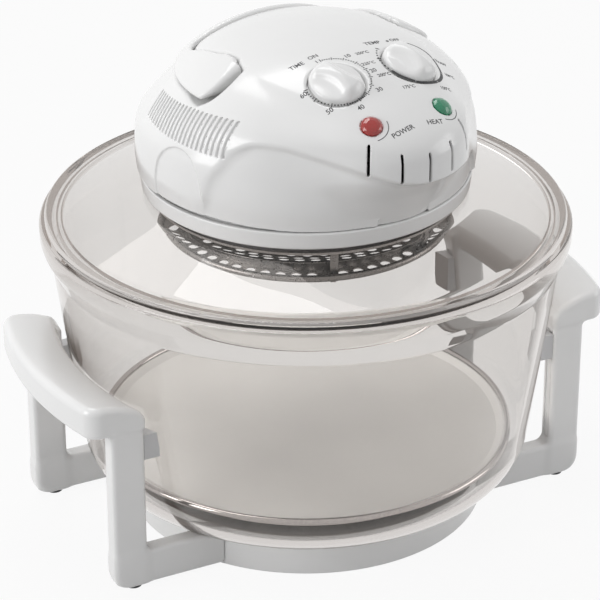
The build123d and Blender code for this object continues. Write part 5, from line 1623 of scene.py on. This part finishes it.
# --------------------------------------------------------------- heater guard
@dataclass
class Perforation:
    """Geometry Nodes that ring a sheet with round holes."""

    pitch: float = 9.6
    hole: float = 3.2
    sheet: float = 0.8
    sides: int = 24
    bolt_angle: float = 66.5
    bolt_clear: float = 0.045
    weld: float = 0.00002

    def tree(self, finish: bpy.types.Material) -> bpy.types.NodeTree:
        """Builds the node tree.

        Args:
            finish: The sheet's material.

        Returns:
            The tree, with inputs for a row's radius, height, pitch, count and bolt skip.
        """
        graph, sizes = node_group("perforated_row", {
            "Row Radius": "Float", "Top": "Float", "Row Width": "Float", "Hole Radius": "Float",
            "Thickness": "Float", "Count": "Int", "Skip Bolts": "Bool"})
        points = graph.node("GeometryNodePoints")
        graph.join(sizes["Count"], points.inputs["Count"])
        index = graph.node("GeometryNodeInputIndex").outputs[0]
        turn = graph.maths("DIVIDE", graph.maths("MULTIPLY", index, 2 * math.pi), sizes["Count"])
        bolt = math.cos(math.radians(self.bolt_angle))
        near = graph.maths("ABSOLUTE", graph.maths(
            "SUBTRACT", graph.maths("ABSOLUTE", graph.maths("COSINE", turn)), bolt))
        free = graph.maths("GREATER_THAN", near, self.bolt_clear)
        keep = graph.maths("MAXIMUM", free, graph.maths("SUBTRACT", 1.0, sizes["Skip Bolts"]))
        spin = graph.node("CombineXYZ")
        graph.join(turn, spin.inputs["Z"])
        both = graph.node("GeometryNodeJoinGeometry")
        holed, whole = self.cell(graph, sizes, sizes["Hole Radius"]), self.cell(graph, sizes, 0.0)
        for picture, chosen in ((holed, keep), (whole, graph.maths("SUBTRACT", 1.0, keep))):
            ring = graph.node("GeometryNodeInstanceOnPoints")
            graph.join(points.outputs[0], ring.inputs["Points"])
            graph.join(picture, ring.inputs["Instance"])
            graph.join(chosen, ring.inputs["Selection"])
            graph.join(spin.outputs[0], ring.inputs["Rotation"])
            graph.join(ring.outputs[0], both.inputs[0])
        real = graph.node("GeometryNodeRealizeInstances")
        graph.join(both.outputs[0], real.inputs[0])
        weld = graph.node("GeometryNodeMergeByDistance", {"Distance": self.weld})
        graph.join(real.outputs[0], weld.inputs["Geometry"])
        return finish_group(graph, weld.outputs[0], finish)

    def cell(self, graph: Graph, sizes: bpy.types.bpy_prop_collection,
             hole: bpy.types.NodeSocket | float) -> bpy.types.NodeSocket:
        """One piece of a row, drawn round its hole.

        Args:
            graph: The tree's graph.
            sizes: The sockets of the tree's inputs.
            hole: The hole's radius.

        Returns:
            The piece's geometry socket.
        """
        reckon = graph.maths
        grid = graph.node("GeometryNodeMeshGrid", {
            "Vertices X": self.sides + 1, "Vertices Y": 4, "Size X": 1.0, "Size Y": 3.0})
        place = graph.node("GeometryNodeInputPosition")
        split = graph.node("SeparateXYZ")
        graph.join(place.outputs[0], split.inputs[0])
        angle = reckon("MULTIPLY", split.outputs["X"], 2 * math.pi)
        across, along = reckon("COSINE", angle), reckon("SINE", angle)
        most = reckon("MAXIMUM", reckon("ABSOLUTE", across), reckon("ABSOLUTE", along))
        half = reckon("DIVIDE", math.pi, sizes["Count"])
        turn = reckon("MULTIPLY", reckon("DIVIDE", along, most), half)
        half_width = reckon("MULTIPLY", sizes["Row Width"], 0.5)
        aside = reckon("MULTIPLY", reckon("DIVIDE", across, most), half_width)
        reach = reckon("ADD", sizes["Row Radius"], aside)
        inner = reckon("LESS_THAN", reckon("ABSOLUTE", split.outputs["Y"]), 1.0)
        outer = reckon("SUBTRACT", 1.0, inner)
        hole_x = reckon("ADD", sizes["Row Radius"], reckon("MULTIPLY", across, hole))
        hole_y = reckon("MULTIPLY", along, hole)
        rim_x = reckon("MULTIPLY", reach, reckon("COSINE", turn))
        rim_y = reckon("MULTIPLY", reach, reckon("SINE", turn))
        lower = reckon("GREATER_THAN", split.outputs["Y"], 0.0)
        spot = graph.node("CombineXYZ")
        for source, socket in zip((
                reckon("ADD", reckon("MULTIPLY", hole_x, inner), reckon("MULTIPLY", rim_x, outer)),
                reckon("ADD", reckon("MULTIPLY", hole_y, inner), reckon("MULTIPLY", rim_y, outer)),
                reckon("SUBTRACT", sizes["Top"], reckon("MULTIPLY", lower, sizes["Thickness"]))
                ), spot.inputs):
            graph.join(source, socket)
        move = graph.node("GeometryNodeSetPosition")
        graph.join(grid.outputs["Mesh"], move.inputs["Geometry"])
        graph.join(spot.outputs[0], move.inputs["Position"])
        return move.outputs[0]

    def row(self, tree: bpy.types.NodeTree, radius: float, top: float, width: float,
            skip: bool) -> bpy.types.Mesh:
        """Makes one row of holes.

        Args:
            tree: The node tree.
            radius: The row's radius.
            top: Height of the sheet's upper face.
            width: How wide a ring of sheet the row fills.
            skip: Whether it leaves the bolts' places whole.

        Returns:
            The row as a plain mesh.
        """
        return grown(tree, {
            "Row Radius": radius * MM, "Top": top * MM, "Row Width": width * MM,
            "Hole Radius": self.hole * MM, "Thickness": self.sheet * MM,
            "Count": int(round(2 * math.pi * radius / self.pitch)), "Skip Bolts": skip})


@dataclass
class HeaterGuard:
    """The perforated guard under the heater: a band, a step, a raised disc and a rolled rim."""

    band_r: float = 80.8
    band_width: float = 8.6
    band_z: float = 190.0
    disc_z: float = 196.0
    step_r: float = 75.5
    first_row: float = 68.6
    rows: int = 6
    bead_r: float = 88.9
    bead: float = 2.0
    bead_z: float = 191.5
    holes: Perforation = field(default_factory=Perforation)

    def build(self, fitter: Fitter, turn: float) -> None:
        """Makes and fits the guard.

        Args:
            fitter: Where it goes.
            turn: The head's turn in degrees.
        """
        sheet, pitch = self.holes.sheet, self.holes.pitch
        tree = self.holes.tree(fitter.finishes.get(Finish.GUARD))
        parts = [self.holes.row(tree, self.band_r, self.band_z, self.band_width, True)]
        for number in range(self.rows):
            parts.append(self.holes.row(tree, self.first_row - number * pitch, self.disc_z, pitch, False))
        inner = self.first_row - (self.rows - 0.5) * pitch
        outer = self.first_row + pitch / 2
        band_in, band_out = self.band_r - self.band_width / 2, self.band_r + self.band_width / 2
        parts.append(Turning("boss", (
            (0.0, self.disc_z, 0.0), (inner, self.disc_z, 0.0),
            (inner, self.disc_z - sheet, 0.0), (0.0, self.disc_z - sheet, 0.0)), 96).mesh())
        parts.append(Turning("step", (
            (outer, self.disc_z, 0.0), (self.step_r + sheet, self.disc_z, 1.2),
            (self.step_r + sheet, self.band_z, 0.4),
            (band_in, self.band_z, 0.0), (band_in, self.band_z - sheet, 0.0),
            (self.step_r, self.band_z - sheet, 1.2), (self.step_r, self.disc_z - sheet, 0.4),
            (outer, self.disc_z - sheet, 0.0))).mesh())
        parts.append(Turning("lip", ((band_out, self.band_z, 0.0), (self.bead_r, self.band_z, 0.0),
                                     (self.bead_r, self.band_z - sheet, 0.0),
                                     (band_out, self.band_z - sheet, 0.0))).mesh())
        parts.append(Turning("bead", rod_outline(self.bead_r, self.bead_z, self.bead)).mesh())
        whole = joined("guard_plate", parts)
        whole.polygons.foreach_set("use_smooth", np.ones(len(whole.polygons), bool))
        whole.set_sharp_from_angle(angle=math.radians(35.0))
        fitter.put(turn_mesh(whole, turn), Finish.GUARD, Body.LID, ["guard"])


# ---------------------------------------------------------------------- lenses
@dataclass
class CutLens:
    """A pilot lamp's lens, cut in twelve facets."""

    rings: tuple[tuple[float, float], ...] = ((6.5, -0.8), (6.5, 0.5), (5.0, 1.9), (3.0, 2.7))
    crown: float = 2.95
    sides: int = 12

    def mesh(self, name: str, face: TiltedFace) -> bpy.types.Mesh:
        """Makes the lens on its tilted face.

        Args:
            name: The mesh's name.
            face: Where the lens stands.

        Returns:
            The mesh.
        """
        shape = bmesh.new()
        rings = []
        for number, (radius, height) in enumerate(self.rings):
            ring = []
            for side in range(self.sides):
                angle = 2 * math.pi * (side + 0.5 * (number // 2)) / self.sides
                ring.append(shape.verts.new((radius * math.cos(angle), radius * math.sin(angle), height)))
            rings.append(ring)
        top = shape.verts.new((0.0, 0.0, self.crown))
        under = shape.verts.new((0.0, 0.0, self.rings[0][1]))
        for number in range(self.sides):
            after = (number + 1) % self.sides
            for first, second in zip(rings, rings[1:]):
                shape.faces.new((first[number], first[after], second[number]))
                shape.faces.new((first[after], second[after], second[number]))
            shape.faces.new((rings[-1][number], rings[-1][after], top))
            shape.faces.new((rings[0][after], rings[0][number], under))
        bmesh.ops.recalc_face_normals(shape, faces=shape.faces)
        mesh = bpy.data.meshes.new(name)
        shape.to_mesh(mesh)
        shape.free()
        axes = Matrix(face.axes().tolist()).to_4x4()
        mesh.transform(Matrix.Translation((face.x, face.y, face.z)) @ axes)
        mesh.transform(Matrix.Scale(MM, 4))
        return mesh


# ------------------------------------------------------------------------ head
@dataclass
class Head:
    """The heater head: housing, carry handle, knobs, lenses, collar and guard."""

    turn: float = 8.0
    housing: HeadHousing = field(default_factory=HeadHousing)
    handle: CarryHandle = field(default_factory=CarryHandle)
    knob: Knob = field(default_factory=Knob)
    guard: HeaterGuard = field(default_factory=HeaterGuard)
    lens: CutLens = field(default_factory=CutLens)

    def moulded(self, fitter: Fitter) -> None:
        """Makes the housing, the carry handle and the knobs.

        Args:
            fitter: Takes the finished pieces.
        """
        spin = turn_matrix(self.turn)
        shell, *panels = self.housing.moulds()
        fitter.put(shell.mesh(spin), Finish.WHITE, Body.LID, ["upper_housing"])
        for panel in panels:
            fitter.put(panel.mesh(spin), Finish.WHITE, Body.LID)
        band = self.handle.mould().mesh(spin)
        fitter.put(band, Finish.WHITE, Body.CARRY_HANDLE, ["carry_handle"])
        for name, face, body in (("timer", TIMER_FACE, Body.TIMER_KNOB),
                                 ("thermostat", HEAT_FACE, Body.THERMOSTAT_KNOB)):
            axes = spin @ face.axes()
            place = spin @ np.array((face.x, face.y, face.z))
            mesh = self.knob.mould(name + "_dial_knob").mesh(axes, place)
            fitter.put(mesh, Finish.WHITE, body, [name + "_knob"])

    def pins(self, fitter: Fitter) -> None:
        """Makes the carry handle's two pins, each with a rounded nose.

        Args:
            fitter: Takes the finished pieces.
        """
        rods = []
        space = self.handle.space
        outline = ((0.0, 50.0, 0.0), (3.0, 50.0, 0.4), (3.0, 64.8, 0.8), (0.0, 64.8, 0.0))
        for side in (1.0, -1.0):
            rod = Turning("pin", outline, 32).mesh()
            rod.transform(Matrix.Rotation(side * math.pi / 2, 4, "Y"))
            rod.transform(Matrix.Translation((0.0, space.pivot_y * MM, space.pivot_z * MM)))
            rods.append(rod)
        whole = turn_mesh(joined("carry_handle_pins", rods), self.turn)
        fitter.put(whole, Finish.FASTENER, Body.LID, ["handle_pins"])

    def collar(self, fitter: Fitter) -> None:
        """Makes the collar under the housing.

        Args:
            fitter: Takes the finished pieces.
        """
        ring = Turning("head_collar", (
            (70.0, 218.2, 0.0), (102.4, 218.2, 2.2), (103.6, 229.5, 1.0), (101.1, 229.5, 0.0),
            (99.9, 222.2, 0.0), (97.6, 222.2, 0.0), (97.6, 237.0, 0.0), (95.1, 237.0, 0.0),
            (95.1, 222.2, 0.0), (70.0, 222.2, 0.0))).mesh()
        fitter.put(turn_mesh(ring, self.turn), Finish.WHITE, Body.LID, ["lower_housing"])

    def lenses(self, fitter: Fitter) -> None:
        """Makes the two pilot lamps' lenses.

        Args:
            fitter: Takes the finished pieces.
        """
        for name, face, finish, slot in (("power", POWER_LAMP_FACE, Finish.RED, Slot.RED_LENS),
                                         ("heat", HEAT_LAMP_FACE, Finish.GREEN, Slot.GREEN_LENS)):
            mesh = turn_mesh(self.lens.mesh(name + "_cut_lens", face), self.turn)
            fitter.put(mesh, finish, Body.LID, [name + "_lens"])

    def build(self, fitter: Fitter) -> None:
        """Makes and fits the whole head.

        Args:
            fitter: Takes the finished pieces.
        """
        self.moulded(fitter)
        self.pins(fitter)
        self.collar(fitter)
        self.lenses(fitter)
        self.guard.build(fitter, self.turn)


@dataclass
class Stand:
    """The stand's two handle frames."""

    frame: HandleFrame = field(default_factory=HandleFrame)

    def build(self, fitter: Fitter) -> None:
        """Makes and fits both frames.

        Args:
            fitter: Takes the finished pieces.
        """
        for side, mirror in (("right", False), ("left", True)):
            mesh = self.frame.mould(side + "_side_frame").mesh(mirror=mirror)
            fitter.put(mesh, Finish.WHITE, Body.STAND, [side + "_handle_frame"])


# ------------------------------------------------------------------ dial print
@dataclass
class Marks:
    """Geometry Nodes that lay equal marks along an arc."""

    def tree(self, finish: bpy.types.Material) -> bpy.types.NodeTree:
        """Builds the node tree.

        Args:
            finish: The ink.

        Returns:
            The tree, with inputs for the arc's radius and angles and a mark's size.
        """
        graph, sizes = node_group("dial_marks", {
            "Arc Radius": "Float", "First Angle": "Float", "Angle Step": "Float",
            "Mark Length": "Float", "Mark Width": "Float", "Count": "Int"})
        index = graph.node("GeometryNodeInputIndex").outputs[0]
        angle = graph.maths("ADD", sizes["First Angle"], graph.maths("MULTIPLY", index, sizes["Angle Step"]))
        spot = graph.node("CombineXYZ")
        for operation, axis in (("SINE", "X"), ("COSINE", "Y")):
            part = graph.maths("MULTIPLY", graph.maths(operation, angle), sizes["Arc Radius"])
            graph.join(part, spot.inputs[axis])
        spin = graph.node("CombineXYZ")
        graph.join(graph.maths("MULTIPLY", angle, -1.0), spin.inputs["Z"])
        points = graph.node("GeometryNodePoints")
        graph.join(sizes["Count"], points.inputs["Count"])
        graph.join(spot.outputs[0], points.inputs["Position"])
        mark = graph.node("GeometryNodeMeshGrid", {"Vertices X": 2, "Vertices Y": 4})
        graph.join(sizes["Mark Width"], mark.inputs["Size X"])
        graph.join(sizes["Mark Length"], mark.inputs["Size Y"])
        ring = graph.node("GeometryNodeInstanceOnPoints")
        graph.join(points.outputs[0], ring.inputs["Points"])
        graph.join(mark.outputs[0], ring.inputs["Instance"])
        graph.join(spin.outputs[0], ring.inputs["Rotation"])
        real = graph.node("GeometryNodeRealizeInstances")
        graph.join(ring.outputs[0], real.inputs[0])
        return finish_group(graph, real.outputs[0], finish)

    def run(self, tree: bpy.types.NodeTree, radius: float, first: float, step: float, count: int,
            length: float, width: float) -> bpy.types.Mesh:
        """Makes a run of marks about the origin, in millimetres.

        Args:
            tree: The node tree.
            radius: The arc's radius.
            first: The first mark's angle in degrees, clockwise from the top.
            step: Degrees from one mark to the next.
            count: How many marks.
            length: A mark's length along the radius.
            width: A mark's width.

        Returns:
            The marks as a plain mesh.
        """
        return grown(tree, {
            "Arc Radius": radius, "First Angle": math.radians(first), "Angle Step": math.radians(step),
            "Mark Length": length, "Mark Width": width, "Count": count})


@dataclass
class DialPrint:
    """Ink on the control panel: scales round the two knobs, and the lamps' names."""

    housing: HeadHousing
    turn: float = 8.0
    tall: float = 3.5
    lift: float = 0.08
    thick: float = 0.12
    marks: Marks = field(default_factory=Marks)
    minutes: tuple[float, ...] = (
        7.0, 27.0, 47.0, 70.0, 92.0, 113.0, 133.0, 156.0, 176.0, 199.0, 225.0, 255.0, 281.0)
    time_words: tuple[tuple[str, float, float, float], ...] = (
        ("TIME", -9.6, 26.5, 3.5), ("ON", 3.4, 28.0, 3.3), ("10", 21.1, 17.6, 3.3), ("20", 25.7, -1.7, 3.3),
        ("30", 18.9, -16.8, 3.3), ("40", 0.6, -23.2, 3.3), ("50", -15.5, -14.5, 3.3), ("60", -20.8, 4.1, 3.3))
    heat_words: tuple[tuple[str, float, float, float], ...] = (
        ("TEMP", -10.4, 25.2, 3.5), ("OFF", 6.6, 25.9, 3.1), ("THAW", 32.4, 7.5, 2.6),
        ("100\u00b0C", 31.4, -4.5, 2.6),
        ("150\u00b0C", 15.0, -21.5, 2.6), ("175\u00b0C", -13.0, -20.0, 2.6), ("200\u00b0C", -22.8, -7.0, 2.6),
        ("225\u00b0C", -26.2, 5.4, 2.6), ("250\u00b0C", -23.2, 16.8, 2.6))

    def word(self, text: str, x: float, y: float, size: float) -> bpy.types.Mesh:
        """One word as a flat mesh centred on a place.

        Args:
            text: What it says.
            x: The place across.
            y: The place up.
            size: The letters' height.

        Returns:
            The mesh.
        """
        curve = bpy.data.curves.new("word", "FONT")
        curve.body = text
        curve.size = size * 1.35
        curve.align_x = "CENTER"
        curve.align_y = "CENTER"
        curve.offset = 0.03
        curve.resolution_u = 4
        mesh = baked(held("word", curve))
        mesh.transform(Matrix.Translation((x, y, 0.0)))
        return mesh

    def band(self, middle: tuple[float, float], radius: float, start: float, end: float, first: float,
             last: float) -> bpy.types.Mesh:
        """A band along an arc.

        Args:
            middle: The arc's centre.
            radius: Its radius.
            start: Its first angle in degrees, clockwise from the top.
            end: Its last angle.
            first: The band's width at its start.
            last: Its width at its end.

        Returns:
            The band as a flat mesh.
        """
        shape = bmesh.new()
        steps = max(3, int(abs(end - start) / 4))
        rails = []
        for number in range(steps + 1):
            share = number / steps
            angle = math.radians(start + (end - start) * share)
            half = (first + (last - first) * share) / 2
            along, up = math.sin(angle), math.cos(angle)
            rails.append([shape.verts.new((middle[0] + reach * along, middle[1] + reach * up, 0))
                          for reach in (radius - half, radius + half)])
        for before, after in zip(rails, rails[1:]):
            shape.faces.new((before[0], before[1], after[1], after[0]))
        mesh = bpy.data.meshes.new("band")
        shape.to_mesh(mesh)
        shape.free()
        return mesh

    def laid(self, mesh: bpy.types.Mesh, face: TiltedFace) -> bpy.types.Mesh:
        """Lays a flat mesh, drawn on a tilted face, on the housing's skin.

        Args:
            mesh: The flat mesh, in the face's own millimetres.
            face: The face.

        Returns:
            The ink as a thin closed mesh.
        """
        shape = bmesh.new()
        shape.from_mesh(mesh)
        for _ in range(2):
            far = [edge for edge in shape.edges if edge.calc_length() > 1.6]
            if far:
                bmesh.ops.subdivide_edges(shape, edges=far, cuts=1)
        bmesh.ops.triangulate(shape, faces=shape.faces)
        axes = face.axes()
        flat = np.array([vertex.co[:] for vertex in shape.verts])
        spots = np.array((face.x, face.y, face.z)) + flat[:, :2] @ axes[:, :2].T + 3.0 * axes[:, 2]
        for _ in range(80):
            spots -= np.outer(np.clip(self.housing.skin(*spots.T) * 0.6, -0.6, 0.6), axes[:, 2])
        slope = slope_at(self.housing.skin, spots, 0.2)
        slope /= np.linalg.norm(slope, axis=1, keepdims=True)
        turn = turn_matrix(self.turn).T
        top, under = (spots + slope * self.lift) @ turn, (spots + slope * (self.lift - self.thick)) @ turn
        triangles = np.array([[vertex.index for vertex in face_.verts] for face_ in shape.faces])
        a, b, c = (top[triangles[:, place]] for place in range(3))
        up = (np.cross(b - a, c - a) * (slope @ turn)[triangles[:, 0]]).sum(axis=1)
        triangles[up < 0] = triangles[up < 0][:, ::-1]
        shape.free()
        edges = np.vstack([triangles[:, [0, 1]], triangles[:, [1, 2]], triangles[:, [2, 0]]])
        known = {tuple(edge) for edge in edges.tolist()}
        rim = np.array([edge for edge in edges.tolist() if (edge[1], edge[0]) not in known])
        below = len(top)
        sides = np.vstack([np.column_stack([rim[:, 0] + below, rim[:, 1] + below, rim[:, 1]]),
                           np.column_stack([rim[:, 0] + below, rim[:, 1], rim[:, 0]])])
        faces = np.vstack([triangles, triangles[:, ::-1] + below, sides])
        made = mesh_of("ink", np.vstack([top, under]), faces)
        made.polygons.foreach_set("use_smooth", np.zeros(len(made.polygons), bool))
        return made

    def time_scale(self, tree: bpy.types.NodeTree) -> bpy.types.Mesh:
        """The timer's scale and its words, flat.

        Args:
            tree: The marks' node tree.

        Returns:
            The mesh.
        """
        middle = Matrix.Translation((2.0, 2.2, 0.0))
        parts = [self.marks.run(tree, 20.4, 0.0, 1.0, 1, 2.6, 0.55)]
        for angle in self.minutes:
            parts.append(self.marks.run(tree, 20.4, angle, 1.0, 1, 2.6, 0.55))
        for start, end in zip(self.minutes, self.minutes[1:]):
            step = (end - start) / 5
            parts.append(self.marks.run(tree, 20.2, start + step, step, 4, 0.95, 0.8))
        for part in parts:
            part.transform(middle)
        return joined("time_scale", parts + [self.word(*word) for word in self.time_words])

    def heat_scale(self, tree: bpy.types.NodeTree) -> bpy.types.Mesh:
        """The thermostat's scale and its words, flat.

        Args:
            tree: The marks' node tree.

        Returns:
            The mesh.
        """
        middle = (3.0, 3.0)
        parts = [self.band(middle, 21.0, 17.0, 78.0, 0.35, 1.1)]
        for start, end in ((80.0, 116.0), (118.0, 156.0), (158.0, 203.0), (205.0, 248.0)):
            parts.append(self.band(middle, 21.0, start, end, 2.0, 2.0))
        dashes = self.marks.run(tree, 21.0, 255.0, 7.6, 9, 0.9, 1.1)
        ends = self.marks.run(tree, 21.0, 283.0, 33.0, 2, 2.6, 0.6)
        for part in (dashes, ends):
            part.transform(Matrix.Translation((*middle, 0.0)))
        dot = self.band((0.7, 25.2), 0.5, 0.0, 360.0, 1.0, 1.0)
        words = [self.word(*word) for word in self.heat_words]
        return joined("heat_scale", parts + [dashes, ends, dot] + words)

    def lamp_name(self, text: str, face: TiltedFace, spot: Sequence[float]) -> bpy.types.Mesh:
        """A lamp's name and the arc under it, flat.

        Args:
            text: What it says.
            face: The tilted face that it is drawn on.
            spot: The lamp's place.

        Returns:
            The mesh.
        """
        u, v, _ = face.local(*(np.array([value]) for value in spot))
        name = self.word(text, float(u[0]), float(v[0]), 3.4)
        return joined("lamp_name", [name, self.band((0.0, 0.0), 10.0, 100.0, 196.0, 0.45, 0.45)])

    def build(self, fitter: Fitter) -> None:
        """Prints everything and fits it on the lid.

        Args:
            fitter: Takes the finished pieces.
        """
        tree = self.marks.tree(fitter.finishes.get(Finish.INK))
        sheets = [(self.time_scale(tree), TIMER_FACE), (self.heat_scale(tree), HEAT_FACE),
                  (self.lamp_name("POWER", POWER_LAMP_FACE, (-10.5, -113.5, 293.8)), POWER_LAMP_FACE),
                  (self.lamp_name("HEAT", HEAT_LAMP_FACE, (13.2, -113.0, 293.7)), HEAT_LAMP_FACE)]
        whole = joined("dial_print", [self.laid(mesh, face) for mesh, face in sheets])
        fitter.put(whole, Finish.INK, Body.LID)


# ---------------------------------------------------------------------- stage
@dataclass(frozen=True)
class Lamp:
    """A soft box aimed at the oven: its place and size in metres and its power in watts."""

    name: str
    place: tuple[float, float, float]
    size: tuple[float, float]
    power: float
    aim: tuple[float, float, float] = (0.0, 0.0, 0.2)

    def hang(self) -> None:
        """Hangs the lamp."""
        data = bpy.data.lights.new(self.name, "AREA")
        data.shape = "RECTANGLE"
        data.size, data.size_y = self.size
        data.energy = self.power
        made = held(self.name, data)
        made.location = self.place
        made.rotation_euler = (Vector(self.aim) - Vector(self.place)).to_track_quat("-Z", "Y").to_euler()


@dataclass
class Stage:
    """Floor, backdrop, lamps and camera."""

    floor_half: float = 6.0
    glow: float = 0.92
    sky: Colour = (0.46, 0.46, 0.465)
    azimuth: float = -27.0
    elevation: float = 27.08
    distance: float = 1.7796
    aim_height: float = 0.1331
    aim_side: float = -0.0036
    lens: float = 167.46
    lamps: tuple[Lamp, ...] = (
        Lamp("key", (-2.0, 0.0, 0.9), (1.1, 1.1), 20.0),
        Lamp("fill", (1.8, -0.8, 0.7), (1.0, 1.2), 8.0),
        Lamp("top", (-0.1, 0.7, 2.1), (1.2, 1.0), 15.0))

    def floor_material(self) -> bpy.types.Material:
        """White paper that keeps the oven's shadow.

        Returns:
            The material.
        """
        board = Board("paper")
        paper = board.node("BsdfDiffuse", {"Color": (0.62, 0.62, 0.62, 1.0)})
        grain = board.grain(60.0)
        board.join(board.tinted(grain, (0.61, 0.61, 0.61), (0.63, 0.63, 0.63)), paper.inputs["Color"])
        glow = board.node("Emission", {"Color": (1.0, 1.0, 1.0, 1.0), "Strength": 1.0})
        share = board.maths("MULTIPLY", board.looked_at(), self.glow)
        return board.surface(board.mixed(share, paper, glow))

    def floor(self) -> bpy.types.Object:
        """Lays the floor.

        Returns:
            The floor.
        """
        half = self.floor_half
        mesh = bpy.data.meshes.new("floor")
        corners = [(-half, -half, 0), (half, -half, 0), (half, half, 0), (-half, half, 0)]
        mesh.from_pydata(corners, [], [(0, 1, 2, 3)])
        made = held("floor", mesh)
        mesh.materials.append(self.floor_material())
        return made

    def world(self) -> None:
        """Sets an even sky that cameras, mirrors and glass see as white."""
        world = bpy.data.worlds.new("studio")
        bpy.context.scene.world = world
        world.use_nodes = True
        world.node_tree.nodes.clear()
        graph = Graph(world.node_tree)
        out = graph.node("OutputWorld")
        sky = graph.node("Background", {"Color": (*self.sky, 1.0)})
        white = graph.node("Background", {"Color": (1.0, 1.0, 1.0, 1.0)})
        graph.join(graph.mixed(graph.looked_at(), sky, white).outputs[0], out.inputs["Surface"])

    def camera(self) -> None:
        """Sets the camera."""
        turn, tilt = math.radians(self.azimuth), math.radians(self.elevation)
        back = Vector((math.sin(turn) * math.cos(tilt), -math.cos(turn) * math.cos(tilt), math.sin(tilt)))
        side = Vector((math.cos(turn), math.sin(turn), 0.0))
        data = bpy.data.cameras.new("camera")
        data.lens = self.lens
        data.sensor_width = 36.0
        made = held("camera", data)
        place = Vector((0.0, 0.0, self.aim_height)) + back * self.distance
        aim = Vector((0.0, 0.0, self.aim_height)) + side * self.aim_side - place
        made.location = place
        made.rotation_euler = aim.to_track_quat("-Z", "Y").to_euler()
        bpy.context.scene.camera = made

    def build(self) -> None:
        """Sets the whole stage."""
        self.floor()
        self.world()
        for lamp in self.lamps:
            lamp.hang()
        self.camera()
        bpy.context.scene.view_settings.view_transform = "Standard"


def dress_frame(finishes: Finishes) -> None:
    """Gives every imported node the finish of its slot.

    Args:
        finishes: Where the materials come from.
    """
    slots = {entry["node"]: entry["material_slot"] for entry in frame["record"]["subparts"]}
    for name, node in frame["nodes"].items():
        material = finishes.get(SLOT_FINISH[Slot(slots[name])])
        if not node.data.materials:
            node.data.materials.append(material)
        for place in range(len(node.data.materials)):
            node.data.materials[place] = material


def main() -> None:
    """Builds the oven's looks in order."""
    logging.basicConfig(level=logging.INFO, format="%(name)s: %(message)s")
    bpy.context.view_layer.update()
    finishes = Finishes()
    dress_frame(finishes)
    log.info("frame dressed: %d nodes", len(frame["nodes"]))
    fitter = Fitter(finishes)
    Glassware().build(fitter)
    DripTray().build(fitter)
    Stand().build(fitter)
    head = Head()
    head.build(fitter)
    DialPrint(head.housing).build(fitter)
    Stage().build()
    log.info("stage set")


if __name__ == "__main__":
    main()
